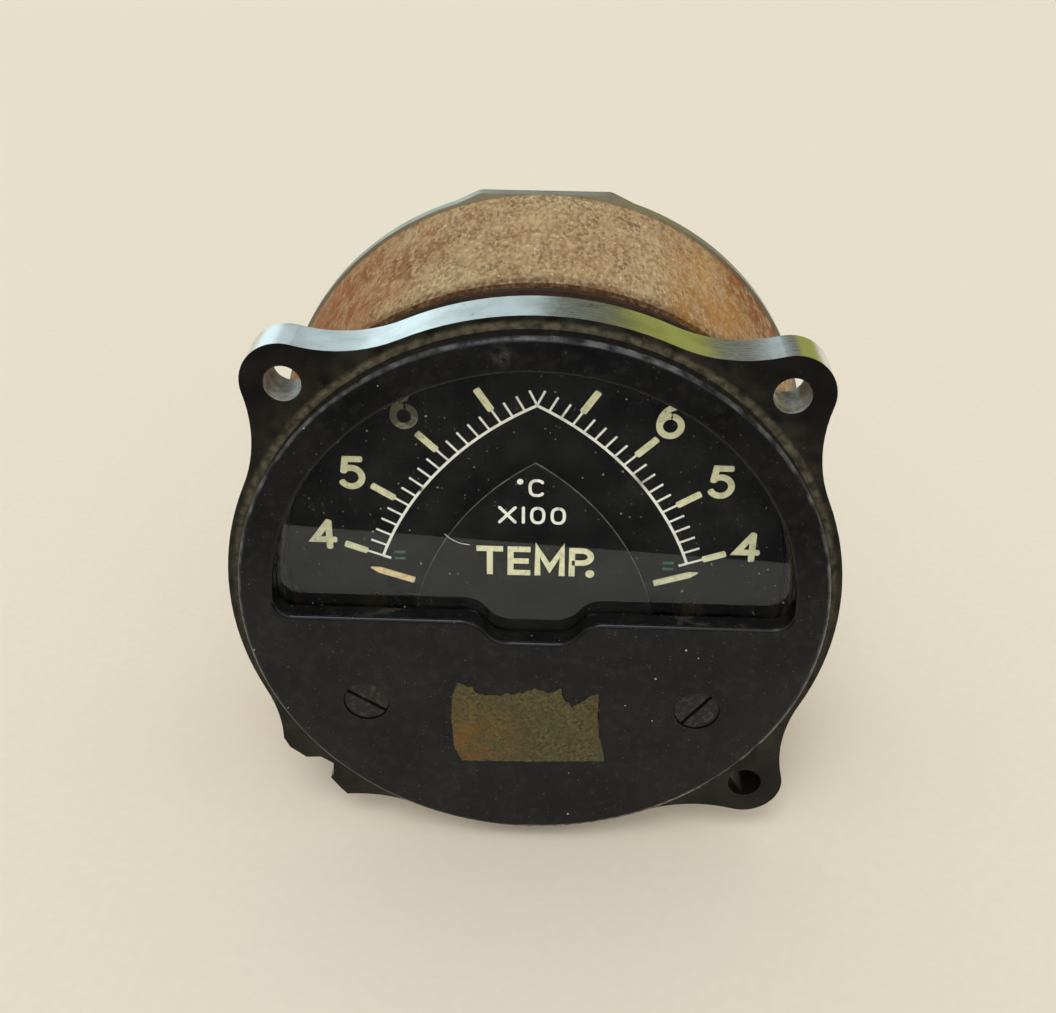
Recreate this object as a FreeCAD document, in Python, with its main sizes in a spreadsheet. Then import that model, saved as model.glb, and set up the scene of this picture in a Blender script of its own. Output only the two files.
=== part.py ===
import FreeCAD, Part
import Sketcher
import math
import os
import re
from FreeCAD import Placement, Rotation, Vector

# Twin exhaust temperature gauge. Millimetres, +Z up, the dial faces -Y.
# The origin is the centre of the mounting flange's front face, on the case axis.

document = FreeCAD.newDocument("exhaust_temperature_gauge")
sheet = document.addObject("Spreadsheet::Sheet", "Sizes")

SIZES = {
    # Mounting flange: a round rim with four lugs on a square of holes
    "hole_square": 62.87,
    "hole_diameter": 4.8,
    "rim_radius": 41.25,
    "flange_depth": 6.3,
    "lug_radius": 5.4,
    "lug_blend_radius": 20.0,
    "flange_wall": 3.25,
    "flange_lip_depth": 2.4,
    # Front cover with the D-shaped window
    "rim_step": 1.75,
    "cover_proud": 2.5,
    "cover_edge_round": 0.7,
    "cover_back": 0.1,
    "spigot_wall": 1.2,
    "window_margin": 4.7,
    "window_lip_drop": 2.0,
    "window_corner_radius": 2.6,
    "window_bulge_drop": 5.4,
    "window_bulge_top_half": 7.54,
    "window_bulge_foot_half": 5.16,
    "window_bulge_round": 3.9,
    "window_edge_round": 0.5,
    # Window pane, its gasket and its ring
    "gasket_thickness": 0.4,
    "gasket_inset": 0.3,
    "pane_thickness": 1.6,
    "pane_clearance": 0.3,
    "pane_foot_drop": 7.4,
    "ring_thickness": 0.7,
    "ring_width": 1.6,
    "ring_end_drop": 4.0,
    # Case body and its shield ring
    "case_step": 2.65,
    "case_wall": 1.4,
    "case_boss": 4.0,
    "case_boss_depth": 6.0,
    "case_rear_boss_depth": 4.0,
    "case_length": 39.1,
    "shield_clearance": 0.05,
    "shield_wall": 1.35,
    "shield_taper": 1.6,
    "shield_length": 31.5,
    "shoulder_height": 0.7,
    "shoulder_width": 0.8,
    # Rear plate and terminal block
    "rear_overhang": 0.5,
    "rear_plate_thickness": 2.0,
    "rear_spigot_depth": 3.0,
    "rear_flat_depth": 0.45,
    "rear_flat_half": 9.8,
    "rear_flat_foot_half": 13.4,
    "rear_flat_round": 2.0,
    "block_half_width": 21.0,
    "block_half_height": 12.0,
    "block_depth": 7.0,
    "block_round": 3.0,
    "barrier_thickness": 2.0,
    "barrier_height": 3.0,
    "barrier_inset": 1.0,
    "stud_base_radius": 2.3,
    "stud_bush": 0.9,
    "stud_collar": 0.7,
    "stud_pitch_x": 22.0,
    "stud_pitch_z": 13.0,
    "stud_radius": 2.0,
    "stud_length": 8.2,
    "nut_radius": 3.6,
    "nut_thickness": 2.2,
    "washer_radius": 3.9,
    "washer_thickness": 0.6,
    # Dial, its posts and the centre plate over the pointer shafts
    "dial_front": 6.0,
    "dial_thickness": 0.8,
    "dial_clearance": 0.3,
    "dial_foot_drop": 3.0,
    "dial_screw_x": 22.0,
    "dial_screw_drop": 4.9,
    "dial_tab_half": 2.5,
    "centre_plate_front": 3.3,
    "centre_plate_thickness": 0.4,
    "centre_plate_radius": 35.8,
    "centre_plate_foot_drop": 6.5,
    "tongue_half": 6.0,
    "tongue_drop": 20.0,
    "tongue_screw_x": 3.5,
    "tongue_screw_drop": 17.5,
    # Movement chassis
    "chassis_front": 10.0,
    "chassis_thickness": 1.6,
    "chassis_clearance": 0.4,
    "chassis_hole_radius": 5.0,
    "pillar_radius": 2.2,
    "pillar_inset": 0.6,
    "pillar_top_angle": 51.5,
    "pillar_low_angle": 59.5,
    # The two movements stand crossed: each pointer reads the scale on the far side
    "pivot_inset": 15.94,
    "pivot_drop": 11.32,
    "pointer_length": 43.2,
    "pointer_root_half": 0.6,
    "pointer_neck_half": 0.3,
    "pointer_neck_reach": 36.0,
    "pointer_point": 1.0,
    "pointer_tail": 4.6,
    "pointer_hub_radius": 1.3,
    "pointer_thickness": 0.3,
    "pointer_rest_angle": 17.75,
    "pointer_level": 4.15,
    "pointer_level_step": 0.8,
    "core_radius": 5.0,
    "core_length": 12.0,
    "core_front": 14.0,
    "coil_air_gap": 0.4,
    "coil_winding": 1.1,
    "coil_width": 1.6,
    "coil_end_gap": 0.8,
    "coil_mid_angle": 24.0,
    "pole_bore_radius": 6.9,
    "pole_half_width": 10.0,
    "pole_half_height": 6.5,
    "pole_gap_half": 4.0,
    "bracket_half": 1.2,
    "bracket_bar_half": 6.5,
    "bracket_thickness": 0.4,
    "magnet_leg": 3.5,
    "magnet_foot_drop": 5.7,
    "magnet_bow_rise": 13.3,
    "pole_post_x": 8.2,
    "pole_post_z": 4.5,
    "post_radius": 1.3,
    "staff_radius": 0.5,
    "staff_foot_radius": 1.8,
    "staff_foot_thickness": 0.4,
    "staff_tip_radius": 0.2,
    "jewel_screw_radius": 1.2,
    "jewel_head_radius": 2.5,
    "jewel_head_thickness": 0.6,
    "jewel_cup_radius": 0.75,
    "jewel_cup_depth": 0.8,
    "jewel_screw_reach": 0.3,
    "rear_jewel_screw_reach": 1.1,
    "staff_end_gap": 0.2,
    "balance_level": 7.4,
    "balance_thickness": 0.4,
    "balance_reach": 4.6,
    "balance_half": 0.35,
    "weight_radius": 0.8,
    "weight_thickness": 0.5,
    "spring_level": 8.6,
    "rear_spring_level": 29.4,
    "spring_height": 0.4,
    "spring_strip": 0.15,
    "spring_inner_radius": 0.9,
    "spring_pitch": 0.9,
    "spring_halves": 6,
    "bridge_reach": 9.4,
    "bridge_angle": 8.0,
    "bridge_half": 2.0,
    "bridge_front": 2.9,
    "bridge_thickness": 0.8,
    "bridge_boss_radius": 2.0,
    "bridge_boss_height": 0.6,
    "rear_bridge_front": 32.0,
    # Zero adjusters: a slotted screw with an eccentric pin turns a forked lever
    "zero_screw_x": 23.1,
    "zero_screw_drop": 16.3,
    "zero_head_radius": 3.1,
    "zero_head_clearance": 0.1,
    "zero_head_sink": 0.25,
    "zero_head_thickness": 1.75,
    "zero_shank_radius": 1.5,
    "zero_shank_clearance": 0.08,
    "zero_shank_end": 1.5,
    "zero_slot_width": 0.5,
    "zero_slot_depth": 0.8,
    "left_zero_slot_angle": 128.0,
    "right_zero_slot_angle": 32.0,
    "zero_pin_radius": 0.5,
    "zero_pin_offset": 0.8,
    "zero_pin_length": 1.5,
    "clip_radius": 2.6,
    "clip_thickness": 0.4,
    "clip_gap": 0.1,
    "lever_front": 2.35,
    "lever_thickness": 0.4,
    "lever_hub_radius": 3.2,
    "lever_clearance": 0.05,
    "lever_arm_half": 1.6,
    "lever_arm_reach": 9.0,
    "lever_slot_clearance": 0.08,
    "lever_slot_start": 5.8,
    "lever_tail_half": 0.6,
    "stake_radius": 0.4,
    "stake_reach": 4.4,
    # Fasteners
    "small_screw_radius": 1.0,
    "small_head_radius": 1.5,
    "small_head_thickness": 0.8,
    "small_slot_width": 0.5,
    "small_slot_depth": 0.4,
    "case_screw_radius": 1.25,
    "case_head_radius": 2.2,
    "case_head_thickness": 1.4,
    "case_screw_count": 6,
    "case_screw_start_angle": 30,
    "screw_bite": 3.5,
    "post_bite": 2.5,
    "head_clearance": 0.05,
    # How far a cutting tool runs on past the face it opens
    "overrun": 1.0,
}

# Radii that follow from the rim, wall by wall
DERIVED = {
    "cover_radius": "rim_radius-rim_step",
    "window_radius": "cover_radius-window_margin",
    "flange_bore_radius": "rim_radius-flange_wall",
    "pane_recess_radius": "flange_bore_radius-spigot_wall",
    "pane_radius": "pane_recess_radius-pane_clearance",
    "ring_inner_radius": "pane_recess_radius-ring_width",
    "case_radius": "rim_radius-case_step",
    "case_bore_radius": "case_radius-case_boss",
    "shield_bore_radius": "case_radius+shield_clearance",
    "shield_radius": "shield_bore_radius+shield_wall",
    "shield_rear_radius": "shield_radius+shield_taper",
    "rear_plate_radius": "shield_rear_radius+rear_overhang",
    "rear_flat_height": "rear_plate_radius-rear_flat_depth",
    "rear_flat_foot": "sqrt(rear_plate_radius^2-rear_flat_foot_half^2)",
    "dial_radius": "case_bore_radius-dial_clearance",
    "chassis_radius": "case_bore_radius-chassis_clearance",
    "pillar_circle": "case_bore_radius-pillar_radius-pillar_inset",
    "case_screw_circle": "(case_bore_radius+flange_bore_radius)/2",
    "pivot_x": "case_bore_radius-pivot_inset",
    "case_end": "flange_depth+case_length",
    "rear_face": "case_end+rear_plate_thickness",
    "block_face": "rear_face+block_depth",
}

for row, (alias, amount) in enumerate(SIZES.items(), 1):
    sheet.set(f"A{row}", alias)
    sheet.set(f"B{row}", str(amount))
    sheet.setAlias(f"B{row}", alias)
for row, (alias, formula) in enumerate(DERIVED.items(), len(SIZES) + 1):
    sheet.set(f"A{row}", alias)
    sheet.set(f"B{row}", "=" + formula)
    sheet.setAlias(f"B{row}", alias)
document.recompute()
NAMES = set(SIZES) | set(DERIVED)


def size(alias):
    """One named size from the sheet."""
    return float(getattr(sheet, alias))


def sized(text):
    """An expression over the sheet, from one written in the plain names."""
    return re.sub(r"[a-z_]+", lambda word: "Sizes." + word[0] if word[0] in NAMES else word[0], str(text))


def bind(thing, **expressions):
    """Bind properties to expressions; a double underscore stands for a dot."""
    for name, text in expressions.items():
        thing.setExpression(name.replace("__", "."), sized(text))
    return thing


def place(thing, x="0", y="0", z="0"):
    return bind(thing, Placement__Base__x=x, Placement__Base__y=y, Placement__Base__z=z)


ALONG_Y = Placement(Vector(), Rotation(Vector(1, 0, 0), -90))


def disc(name, radius, front, depth, x="0", z="0"):
    """A round bar along +Y that starts at front."""
    bar = document.addObject("Part::Cylinder", name)
    bar.Placement = ALONG_Y
    bind(bar, Radius=radius, Height=depth)
    return place(bar, x, front, z)


def cone(name, radius, far_radius, front, depth, x="0", z="0"):
    """A taper along +Y from radius to far_radius."""
    bar = document.addObject("Part::Cone", name)
    bar.Placement = ALONG_Y
    bind(bar, Radius1=radius, Radius2=far_radius, Height=depth)
    return place(bar, x, front, z)


def box(name, x, y, z, width, depth, height):
    block = document.addObject("Part::Box", name)
    bind(block, Length=width, Width=depth, Height=height)
    return place(block, x, y, z)


def centred_box(name, half, y, depth, low, high):
    """A box that is symmetric about the YZ plane."""
    return box(name, f"-({half})", y, low, f"2*({half})", depth, f"({high})-({low})")


def fuse(name, *parts):
    whole = document.addObject("Part::MultiFuse", name)
    whole.Shapes = list(parts)
    return whole


def common(name, *parts):
    whole = document.addObject("Part::MultiCommon", name)
    whole.Shapes = list(parts)
    return whole


def cut(name, base, *tools):
    tool = tools[0] if len(tools) == 1 else group(name + "_cutters", *tools)
    result = document.addObject("Part::Cut", name)
    result.Base = base
    result.Tool = tool
    return result


def group(name, *parts):
    """Separate solids that share one node."""
    whole = document.addObject("Part::Compound", name)
    whole.Links = list(parts)
    return whole


def mirrored(name, source):
    """The same piece on the other side of the YZ plane."""
    copy = document.addObject("Part::Mirroring", name)
    copy.Source = source
    copy.Normal = Vector(1, 0, 0)
    return copy


def turned_about(name, part, angle, x="0", z="0"):
    """A piece modelled about the Y axis, turned by angle and moved to x, z."""
    holder = group(name, part)
    holder.Placement = Placement(Vector(), Rotation(Vector(0, 1, 0), 90))
    bind(holder, Placement__Rotation__Angle=angle)
    return place(holder, x, "0", z)


# Radius of the ring on which a sketch's corners stand until the sheet places them
START_REACH = 10.0


def profile(body, role, corners):
    """A closed sketch of straight lines whose corners are bound to the sheet."""
    outline = body.newObject("Sketcher::SketchObject", body.Name + "_outline")
    support = next(plane for plane in body.Origin.OriginFeatures if plane.Role == role)
    outline.AttachmentSupport = (support, "")
    outline.MapMode = "FlatFace"
    count = len(corners)
    turns = [2 * math.pi * number / count for number in range(count + 1)]
    starts = [Vector(START_REACH * math.cos(turn), START_REACH * math.sin(turn), 0) for turn in turns]
    for first, second in zip(starts, starts[1:]):
        outline.addGeometry(Part.LineSegment(first, second))
    for number, (across, along) in enumerate(corners):
        before = number - 1 if number else count - 1
        outline.addConstraint(Sketcher.Constraint("Coincident", before, 2, number, 1))
        first = starts[number]
        for kind, text, start in (("DistanceX", across, first.x), ("DistanceY", along, first.y)):
            constraint = outline.addConstraint(Sketcher.Constraint(kind, -1, 1, number, 1, start))
            outline.setExpression(f"Constraints[{constraint}]", sized(text))
    return outline


def turned(name, corners):
    """A body of revolution about the Y axis, from corners of radius and y."""
    body = document.addObject("PartDesign::Body", name)
    outline = profile(body, "XY_Plane", corners)
    turning = body.newObject("PartDesign::Revolution", name + "_turning")
    turning.Profile = outline
    turning.ReferenceAxis = (outline, ["V_Axis"])
    turning.Angle = 360
    outline.Visibility = False
    return body


def plate(name, corners, front, depth):
    """A flat body along +Y from corners of x and z."""
    body = document.addObject("PartDesign::Body", name)
    outline = profile(body, "XZ_Plane", corners)
    pad = body.newObject("PartDesign::Pad", name + "_pad")
    pad.Profile = outline
    pad.Reversed = True
    bind(pad, Length=depth)
    return place(body, "0", front, "0")


def rounded(name, source, radius, chosen):
    """Fillet the edges that a test on each edge chooses."""
    document.recompute()
    edges = [number for number, edge in enumerate(source.Shape.Edges, 1) if chosen(edge)]
    fillet = document.addObject("Part::Fillet", name)
    fillet.Base = source
    fillet.Edges = [(number, size(radius), size(radius)) for number in edges]
    return fillet


def along_depth(edge):
    """True for a straight edge that runs along Y."""
    ends = [vertex.Point for vertex in edge.Vertexes]
    return len(ends) == 2 and abs((ends[1] - ends[0]).normalize().y) > 0.999


def at_level(edge, level):
    """True for an edge that lies in the plane y = level."""
    return abs(edge.BoundBox.YMin - level) < 1e-4 and abs(edge.BoundBox.YMax - level) < 1e-4


nodes = []


def node(name, part):
    """Register a finished piece under the name of its node."""
    part.Label = name
    nodes.append(part)
    return part


PIVOT_Z = "-pivot_drop"


# Mounting flange

def lug(name, side, level):
    """One lug: a round end and the kite that joins it to the rim, less the two blends."""
    hole_reach = "hole_square/2*sqrt(2)"
    centre_x = f"{side}*hole_square/2"
    centre_z = f"{level}*hole_square/2"
    far = "(rim_radius+lug_blend_radius)"
    near = "(lug_radius+lug_blend_radius)"
    spread = f"acos(({far}^2+({hole_reach})^2-{near}^2)/(2*{far}*{hole_reach}))"
    blends = []
    corners = [("0", "0")]
    for number, turn in enumerate(("+", "-")):
        blend_x = f"{side}*{far}*cos(45 deg{turn}{spread})"
        blend_z = f"{level}*{far}*sin(45 deg{turn}{spread})"
        blends.append(disc(f"{name}_blend_{number}", "lug_blend_radius", "0", "flange_depth",
                           blend_x, blend_z))
        corners.append((blend_x, blend_z))
    corners.insert(2, (centre_x, centre_z))
    kite = plate(name + "_kite", corners, "0", "flange_depth")
    end = disc(name + "_end", "lug_radius", "0", "flange_depth", centre_x, centre_z)
    return fuse(name, end, cut(name + "_web", kite, *blends))


LUGS = [("top_left", -1, 1), ("top_right", 1, 1), ("low_right", 1, -1), ("low_left", -1, -1)]


def mounting_flange():
    rim = disc("flange_rim", "rim_radius", "0", "flange_depth")
    lugs = []
    holes = []
    for name, side, level in LUGS:
        lugs.append(lug(f"{name}_lug", side, level))
        place_x = f"{side}*hole_square/2"
        place_z = f"{level}*hole_square/2"
        holes.append(disc(f"{name}_hole", "hole_diameter/2", "-overrun", "flange_depth+2*overrun",
                          place_x, place_z))
    bore = disc("flange_bore", "flange_bore_radius", "-overrun", "flange_depth-flange_lip_depth+overrun")
    lip = disc("flange_lip_bore", "case_bore_radius", "-overrun", "flange_depth+2*overrun")
    # The low left lug is broken off through its hole: the break's corners, in lug radii from the hole
    break_corners = [
        (-0.83, 1.06), (-0.70, 0.77), (-0.28, 0.43), (0.11, 0.45), (0.45, 0.23), (0.43, 0.0),
        (0.34, -0.28), (0.58, -0.64), (0.98, -1.13), (-1.7, -1.7), (-1.7, 1.06),
    ]
    break_face = [(f"-hole_square/2+{across}*lug_radius", f"-hole_square/2+{up}*lug_radius")
                  for across, up in break_corners]
    broken = plate("low_left_break", break_face, "-overrun", "flange_depth+2*overrun")
    screw_holes = screw_ring("flange_screw_holes", "small_screw_radius", "-overrun", "flange_depth+2*overrun")
    seats = screw_ring("flange_screw_seats", "small_head_radius+head_clearance", "-overrun",
                       "flange_depth-flange_lip_depth+small_head_thickness+overrun")
    blank = fuse("flange_blank", rim, *lugs)
    node("mounting_flange", cut("mounting_flange", blank, bore, lip, broken, screw_holes, seats, *holes))


def ring_places():
    """x and z expressions of screws spaced evenly round the case screw circle."""
    places = []
    for number in range(int(size("case_screw_count"))):
        turn = f"(case_screw_start_angle+{number}*360/case_screw_count)"
        places.append((f"case_screw_circle*cos{turn}", f"case_screw_circle*sin{turn}"))
    return places


def screw_ring(name, radius, front, depth):
    bars = [disc(f"{name}_{number}", radius, front, depth, x, z)
            for number, (x, z) in enumerate(ring_places())]
    return group(name, *bars)


def screw(name, kind, seat, x, z, reach, facing=-1):
    """A slotted screw: its head stands on seat, its shank reaches into the work."""
    head_depth = f"{kind}_head_thickness"
    head_front = f"{seat}-{head_depth}" if facing < 0 else seat
    shank_front = seat if facing < 0 else f"{seat}-({reach})"
    head = disc(name + "_head", f"{kind}_head_radius", head_front, head_depth, x, z)
    shank = disc(name + "_shank", f"{kind}_screw_radius", shank_front, reach, x, z)
    return fuse(name, head, shank)


# Front cover, pane and ring

def window_outline(name, front, depth, spread="0"):
    """The D of the window with its bulge, grown outwards by spread."""
    round_part = disc(name + "_round", f"window_radius+{spread}", front, depth)
    above = centred_box(name + "_above", "rim_radius", front, depth,
                        f"-window_lip_drop-{spread}", "rim_radius")
    dee = common(name + "_dee", round_part, above)
    bulge = plate(name + "_bulge", [
        (f"-window_bulge_top_half-{spread}", "0"),
        (f"-window_bulge_top_half-{spread}", f"-window_lip_drop-{spread}"),
        (f"-window_bulge_foot_half-{spread}", f"-window_bulge_drop-{spread}"),
        (f"window_bulge_foot_half+{spread}", f"-window_bulge_drop-{spread}"),
        (f"window_bulge_top_half+{spread}", f"-window_lip_drop-{spread}"),
        (f"window_bulge_top_half+{spread}", "0"),
    ], front, depth)
    return fuse(name + "_sharp", dee, bulge)


def window_shape(name, front, depth):
    """The window with its two sharp corners and the shoulders and foot of its bulge rounded."""
    half = size("window_radius") / 2
    low = -size("window_lip_drop") + 1e-3
    sharp = window_outline(name, front, depth)
    corners = rounded(name + "_corners", sharp, "window_corner_radius",
                      lambda edge: along_depth(edge) and abs(edge.CenterOfMass.x) > half)
    return rounded(name + "_shape", corners, "window_bulge_round",
                   lambda edge: along_depth(edge) and edge.CenterOfMass.z < low
                   and abs(edge.CenterOfMass.x) < half)


def front_cover():
    blank = turned("cover_blank", [
        ("0", "-cover_proud"),
        ("cover_radius", "-cover_proud"),
        ("cover_radius", "0"),
        ("flange_bore_radius", "0"),
        ("flange_bore_radius", "flange_depth-flange_lip_depth"),
        ("pane_recess_radius", "flange_depth-flange_lip_depth"),
        ("pane_recess_radius", "cover_back"),
        ("0", "cover_back"),
    ])
    through = "cover_proud+cover_back+2*overrun"
    tools = [window_shape("window", "-cover_proud-overrun", through)]
    for number, side in enumerate((-1, 1)):
        where = (f"{side}*zero_screw_x", "-zero_screw_drop")
        tools.append(disc(f"zero_seat_{number}", "zero_head_radius+zero_head_clearance",
                          "-cover_proud-overrun", "zero_head_sink+zero_head_thickness+overrun", *where))
        tools.append(disc(f"zero_hole_{number}", "zero_shank_radius+zero_shank_clearance",
                          "-cover_proud-overrun", through, *where))
    face = -size("cover_proud")
    foot = -size("window_bulge_drop") - 0.1
    top = size("window_radius") + 0.1
    outer = rounded("cover_outer_round", cut("cover_cut", blank, *tools), "cover_edge_round",
                    lambda edge: at_level(edge, face) and edge.BoundBox.ZMin < -top)
    node("front_cover", rounded("front_cover", outer, "window_edge_round",
         lambda edge: at_level(edge, face) and edge.BoundBox.ZMin > foot and edge.BoundBox.ZMax < top))


def pane_blank(name, front, depth):
    full = disc(name + "_round", "pane_radius", front, depth)
    above = centred_box(name + "_above", "rim_radius", front, depth, "-pane_foot_drop", "rim_radius")
    return common(name, full, above)


def window_stack():
    pane_front = "cover_back+gasket_thickness"
    ring_front = "cover_back+gasket_thickness+pane_thickness"
    gasket = pane_blank("gasket_blank", "cover_back", "gasket_thickness")
    opening = window_outline("gasket_opening", "cover_back-overrun", "gasket_thickness+2*overrun",
                             "gasket_inset")
    node("glass_gasket", cut("glass_gasket", gasket, opening))
    node("window_glass", pane_blank("window_glass", pane_front, "pane_thickness"))
    ring = disc("ring_round", "pane_recess_radius", ring_front, "ring_thickness")
    hollow = disc("ring_hollow", "ring_inner_radius", f"{ring_front}-overrun", "ring_thickness+2*overrun")
    above = centred_box("ring_above", "rim_radius", ring_front, "ring_thickness",
                        "-ring_end_drop", "rim_radius")
    node("glass_retaining_ring", common("glass_retaining_ring", cut("ring_blank", ring, hollow), above))


# Case body, shield ring, rear plate and terminals

def case_and_rings():
    body = turned("case_shell", [
        ("case_bore_radius", "flange_depth"),
        ("case_radius", "flange_depth"),
        ("case_radius", "case_end-shield_length-shoulder_width"),
        ("case_radius+shoulder_height", "case_end-shield_length-shoulder_width"),
        ("case_radius+shoulder_height", "case_end-shield_length"),
        ("case_radius", "case_end-shield_length"),
        ("case_radius", "case_end"),
        ("case_bore_radius", "case_end"),
        ("case_bore_radius", "case_end-case_rear_boss_depth"),
        ("case_radius-case_wall", "case_end-case_rear_boss_depth"),
        ("case_radius-case_wall", "flange_depth+case_boss_depth"),
        ("case_bore_radius", "flange_depth+case_boss_depth"),
    ])
    front_holes = screw_ring("case_front_holes", "small_screw_radius", "flange_depth-overrun",
                             "screw_bite+overrun")
    rear_holes = screw_ring("case_rear_holes", "case_screw_radius", "case_end-screw_bite",
                            "screw_bite+overrun")
    node("case_body", cut("case_body_bored", body, front_holes, rear_holes))
    node("shield_ring", turned("shield_ring", [
        ("shield_bore_radius", "case_end-shield_length"),
        ("shield_radius", "case_end-shield_length"),
        ("shield_rear_radius", "case_end"),
        ("shield_bore_radius", "case_end"),
    ]))
    flange_screws = [screw(f"flange_screw_{number}", "small",
                           "flange_depth-flange_lip_depth+small_head_thickness", x, z,
                           "flange_lip_depth-small_head_thickness+screw_bite")
                     for number, (x, z) in enumerate(ring_places())]
    node("flange_screws", group("flange_screws", *flange_screws))


REAR_DEPTH = "rear_plate_thickness+rear_spigot_depth"
REAR_INSIDE = "case_end-rear_spigot_depth"
STUD_BASE = f"{REAR_DEPTH}+block_depth+washer_thickness+nut_thickness"


def stud_places():
    """x and z expressions of the four terminal studs."""
    return [(f"{side}*stud_pitch_x/2", f"{level}*stud_pitch_z/2") for side in (-1, 1) for level in (-1, 1)]


def rear_end():
    face = disc("rear_disc", "rear_plate_radius", "case_end", "rear_plate_thickness")
    pad = plate("rear_pad", [
        ("-rear_flat_foot_half", "rear_flat_foot"), ("-rear_flat_half", "rear_flat_height"),
        ("rear_flat_half", "rear_flat_height"), ("rear_flat_foot_half", "rear_flat_foot"),
    ], "case_end", "rear_plate_thickness")
    pad_middle = (size("rear_flat_foot") + size("rear_flat_height")) / 2
    rounded_pad = rounded("rear_pad_round", pad, "rear_flat_round",
                          lambda edge: along_depth(edge) and edge.CenterOfMass.z > pad_middle)
    over = centred_box("rear_over_flat", "rear_flat_half-rear_flat_round", "case_end-overrun",
                       "rear_plate_thickness+2*overrun", "rear_flat_height", "rear_plate_radius+overrun")
    spigot = disc("rear_spigot", "case_bore_radius-2*shield_clearance", REAR_INSIDE, "rear_spigot_depth")
    blank = cut("rear_blank", fuse("rear_sum", face, rounded_pad, spigot), over)
    holes = screw_ring("rear_screw_holes", "case_screw_radius", "case_end-overrun",
                       "rear_plate_thickness+2*overrun")
    stud_holes = [disc(f"rear_stud_hole_{number}", "stud_base_radius+stud_bush", f"{REAR_INSIDE}-overrun",
                       f"{REAR_DEPTH}+2*overrun", x, z) for number, (x, z) in enumerate(stud_places())]
    pillar_holes = [disc(f"rear_pillar_hole_{number}", "case_screw_radius", f"{REAR_INSIDE}-overrun",
                         f"{REAR_DEPTH}+2*overrun", x, z) for number, (x, z) in enumerate(pillar_places())]
    node("rear_plate", cut("rear_plate", blank, holes, *stud_holes, *pillar_holes))
    screws = [screw(f"rear_screw_{number}", "case", "rear_face", x, z, "rear_plate_thickness+screw_bite", 1)
              for number, (x, z) in enumerate(ring_places())]
    node("rear_plate_screws", group("rear_plate_screws", *screws))

    slab = centred_box("block_slab", "block_half_width", "rear_face", "block_depth",
                       "-block_half_height", "block_half_height")
    rounded_slab = rounded("block_slab_round", slab, "block_round", along_depth)
    barrier_front = "block_face-overrun"
    barrier_depth = "barrier_height+overrun"
    across = centred_box("barrier_across", "block_half_width-barrier_inset", barrier_front, barrier_depth,
                         "-barrier_thickness/2", "barrier_thickness/2")
    down = centred_box("barrier_down", "barrier_thickness/2", barrier_front, barrier_depth,
                       "-block_half_height+barrier_inset", "block_half_height-barrier_inset")
    block_holes = [disc(f"block_hole_{number}", "stud_base_radius", "rear_face-overrun",
                        "block_depth+2*overrun", x, z) for number, (x, z) in enumerate(stud_places())]
    node("terminal_block", cut("terminal_block", fuse("block_sum", rounded_slab, across, down), *block_holes))

    studs = []
    nuts = []
    washers = []
    for number, where in enumerate(stud_places()):
        # The base of each stud is thicker, up to the top of its base nut
        base = disc(f"stud_base_{number}", "stud_base_radius", REAR_INSIDE, STUD_BASE, *where)
        end = disc(f"stud_end_{number}", "stud_radius", REAR_INSIDE, f"{STUD_BASE}+stud_length", *where)
        collar = disc(f"stud_collar_{number}", "stud_base_radius+stud_collar", REAR_INSIDE, REAR_DEPTH,
                      *where)
        studs.append(fuse(f"stud_{number}", base, end, collar))
        washer = disc(f"washer_disc_{number}", "washer_radius", "block_face", "washer_thickness", *where)
        washer_hole = disc(f"washer_hole_{number}", "stud_base_radius", "block_face-overrun",
                           "washer_thickness+2*overrun", *where)
        washers.append(cut(f"washer_{number}", washer, washer_hole))
        hexagon = document.addObject("Part::Prism", f"nut_blank_{number}")
        hexagon.Polygon = 6
        hexagon.Placement = ALONG_Y
        bind(hexagon, Circumradius="nut_radius", Height="nut_thickness")
        place(hexagon, where[0], "block_face+washer_thickness", where[1])
        nut_hole = disc(f"nut_hole_{number}", "stud_base_radius", "block_face",
                        "nut_thickness+2*overrun", *where)
        nuts.append(cut(f"nut_{number}", hexagon, nut_hole))
    node("terminal_studs", group("terminal_studs", *studs))
    node("terminal_washers", group("terminal_washers", *washers))
    node("terminal_nuts", group("terminal_nuts", *nuts))


# Dial and centre plate

DIAL_SCREWS = [("-dial_screw_x", "-dial_screw_drop"), ("dial_screw_x", "-dial_screw_drop")]
TONGUE_SCREWS = [("-tongue_screw_x", "-tongue_screw_drop"), ("tongue_screw_x", "-tongue_screw_drop")]


def post_set(name, places, front):
    """Tapped posts that stand on the chassis plate and carry a sheet whose rear face is at front."""
    posts = []
    for number, (x, z) in enumerate(places):
        post = disc(f"{name}_bar_{number}", "post_radius", front, f"chassis_front-({front})", x, z)
        hole = disc(f"{name}_hole_{number}", "small_screw_radius", front, "post_bite", x, z)
        posts.append(cut(f"{name}_tapped_{number}", post, hole))
    node(name, group(name, *posts))


def clearance_holes(name, places, front, depth):
    """Round cutters for small screws through a sheet."""
    return [disc(f"{name}_{number}", "small_screw_radius", f"{front}-overrun", f"{depth}+2*overrun", x, z)
            for number, (x, z) in enumerate(places)]


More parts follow.
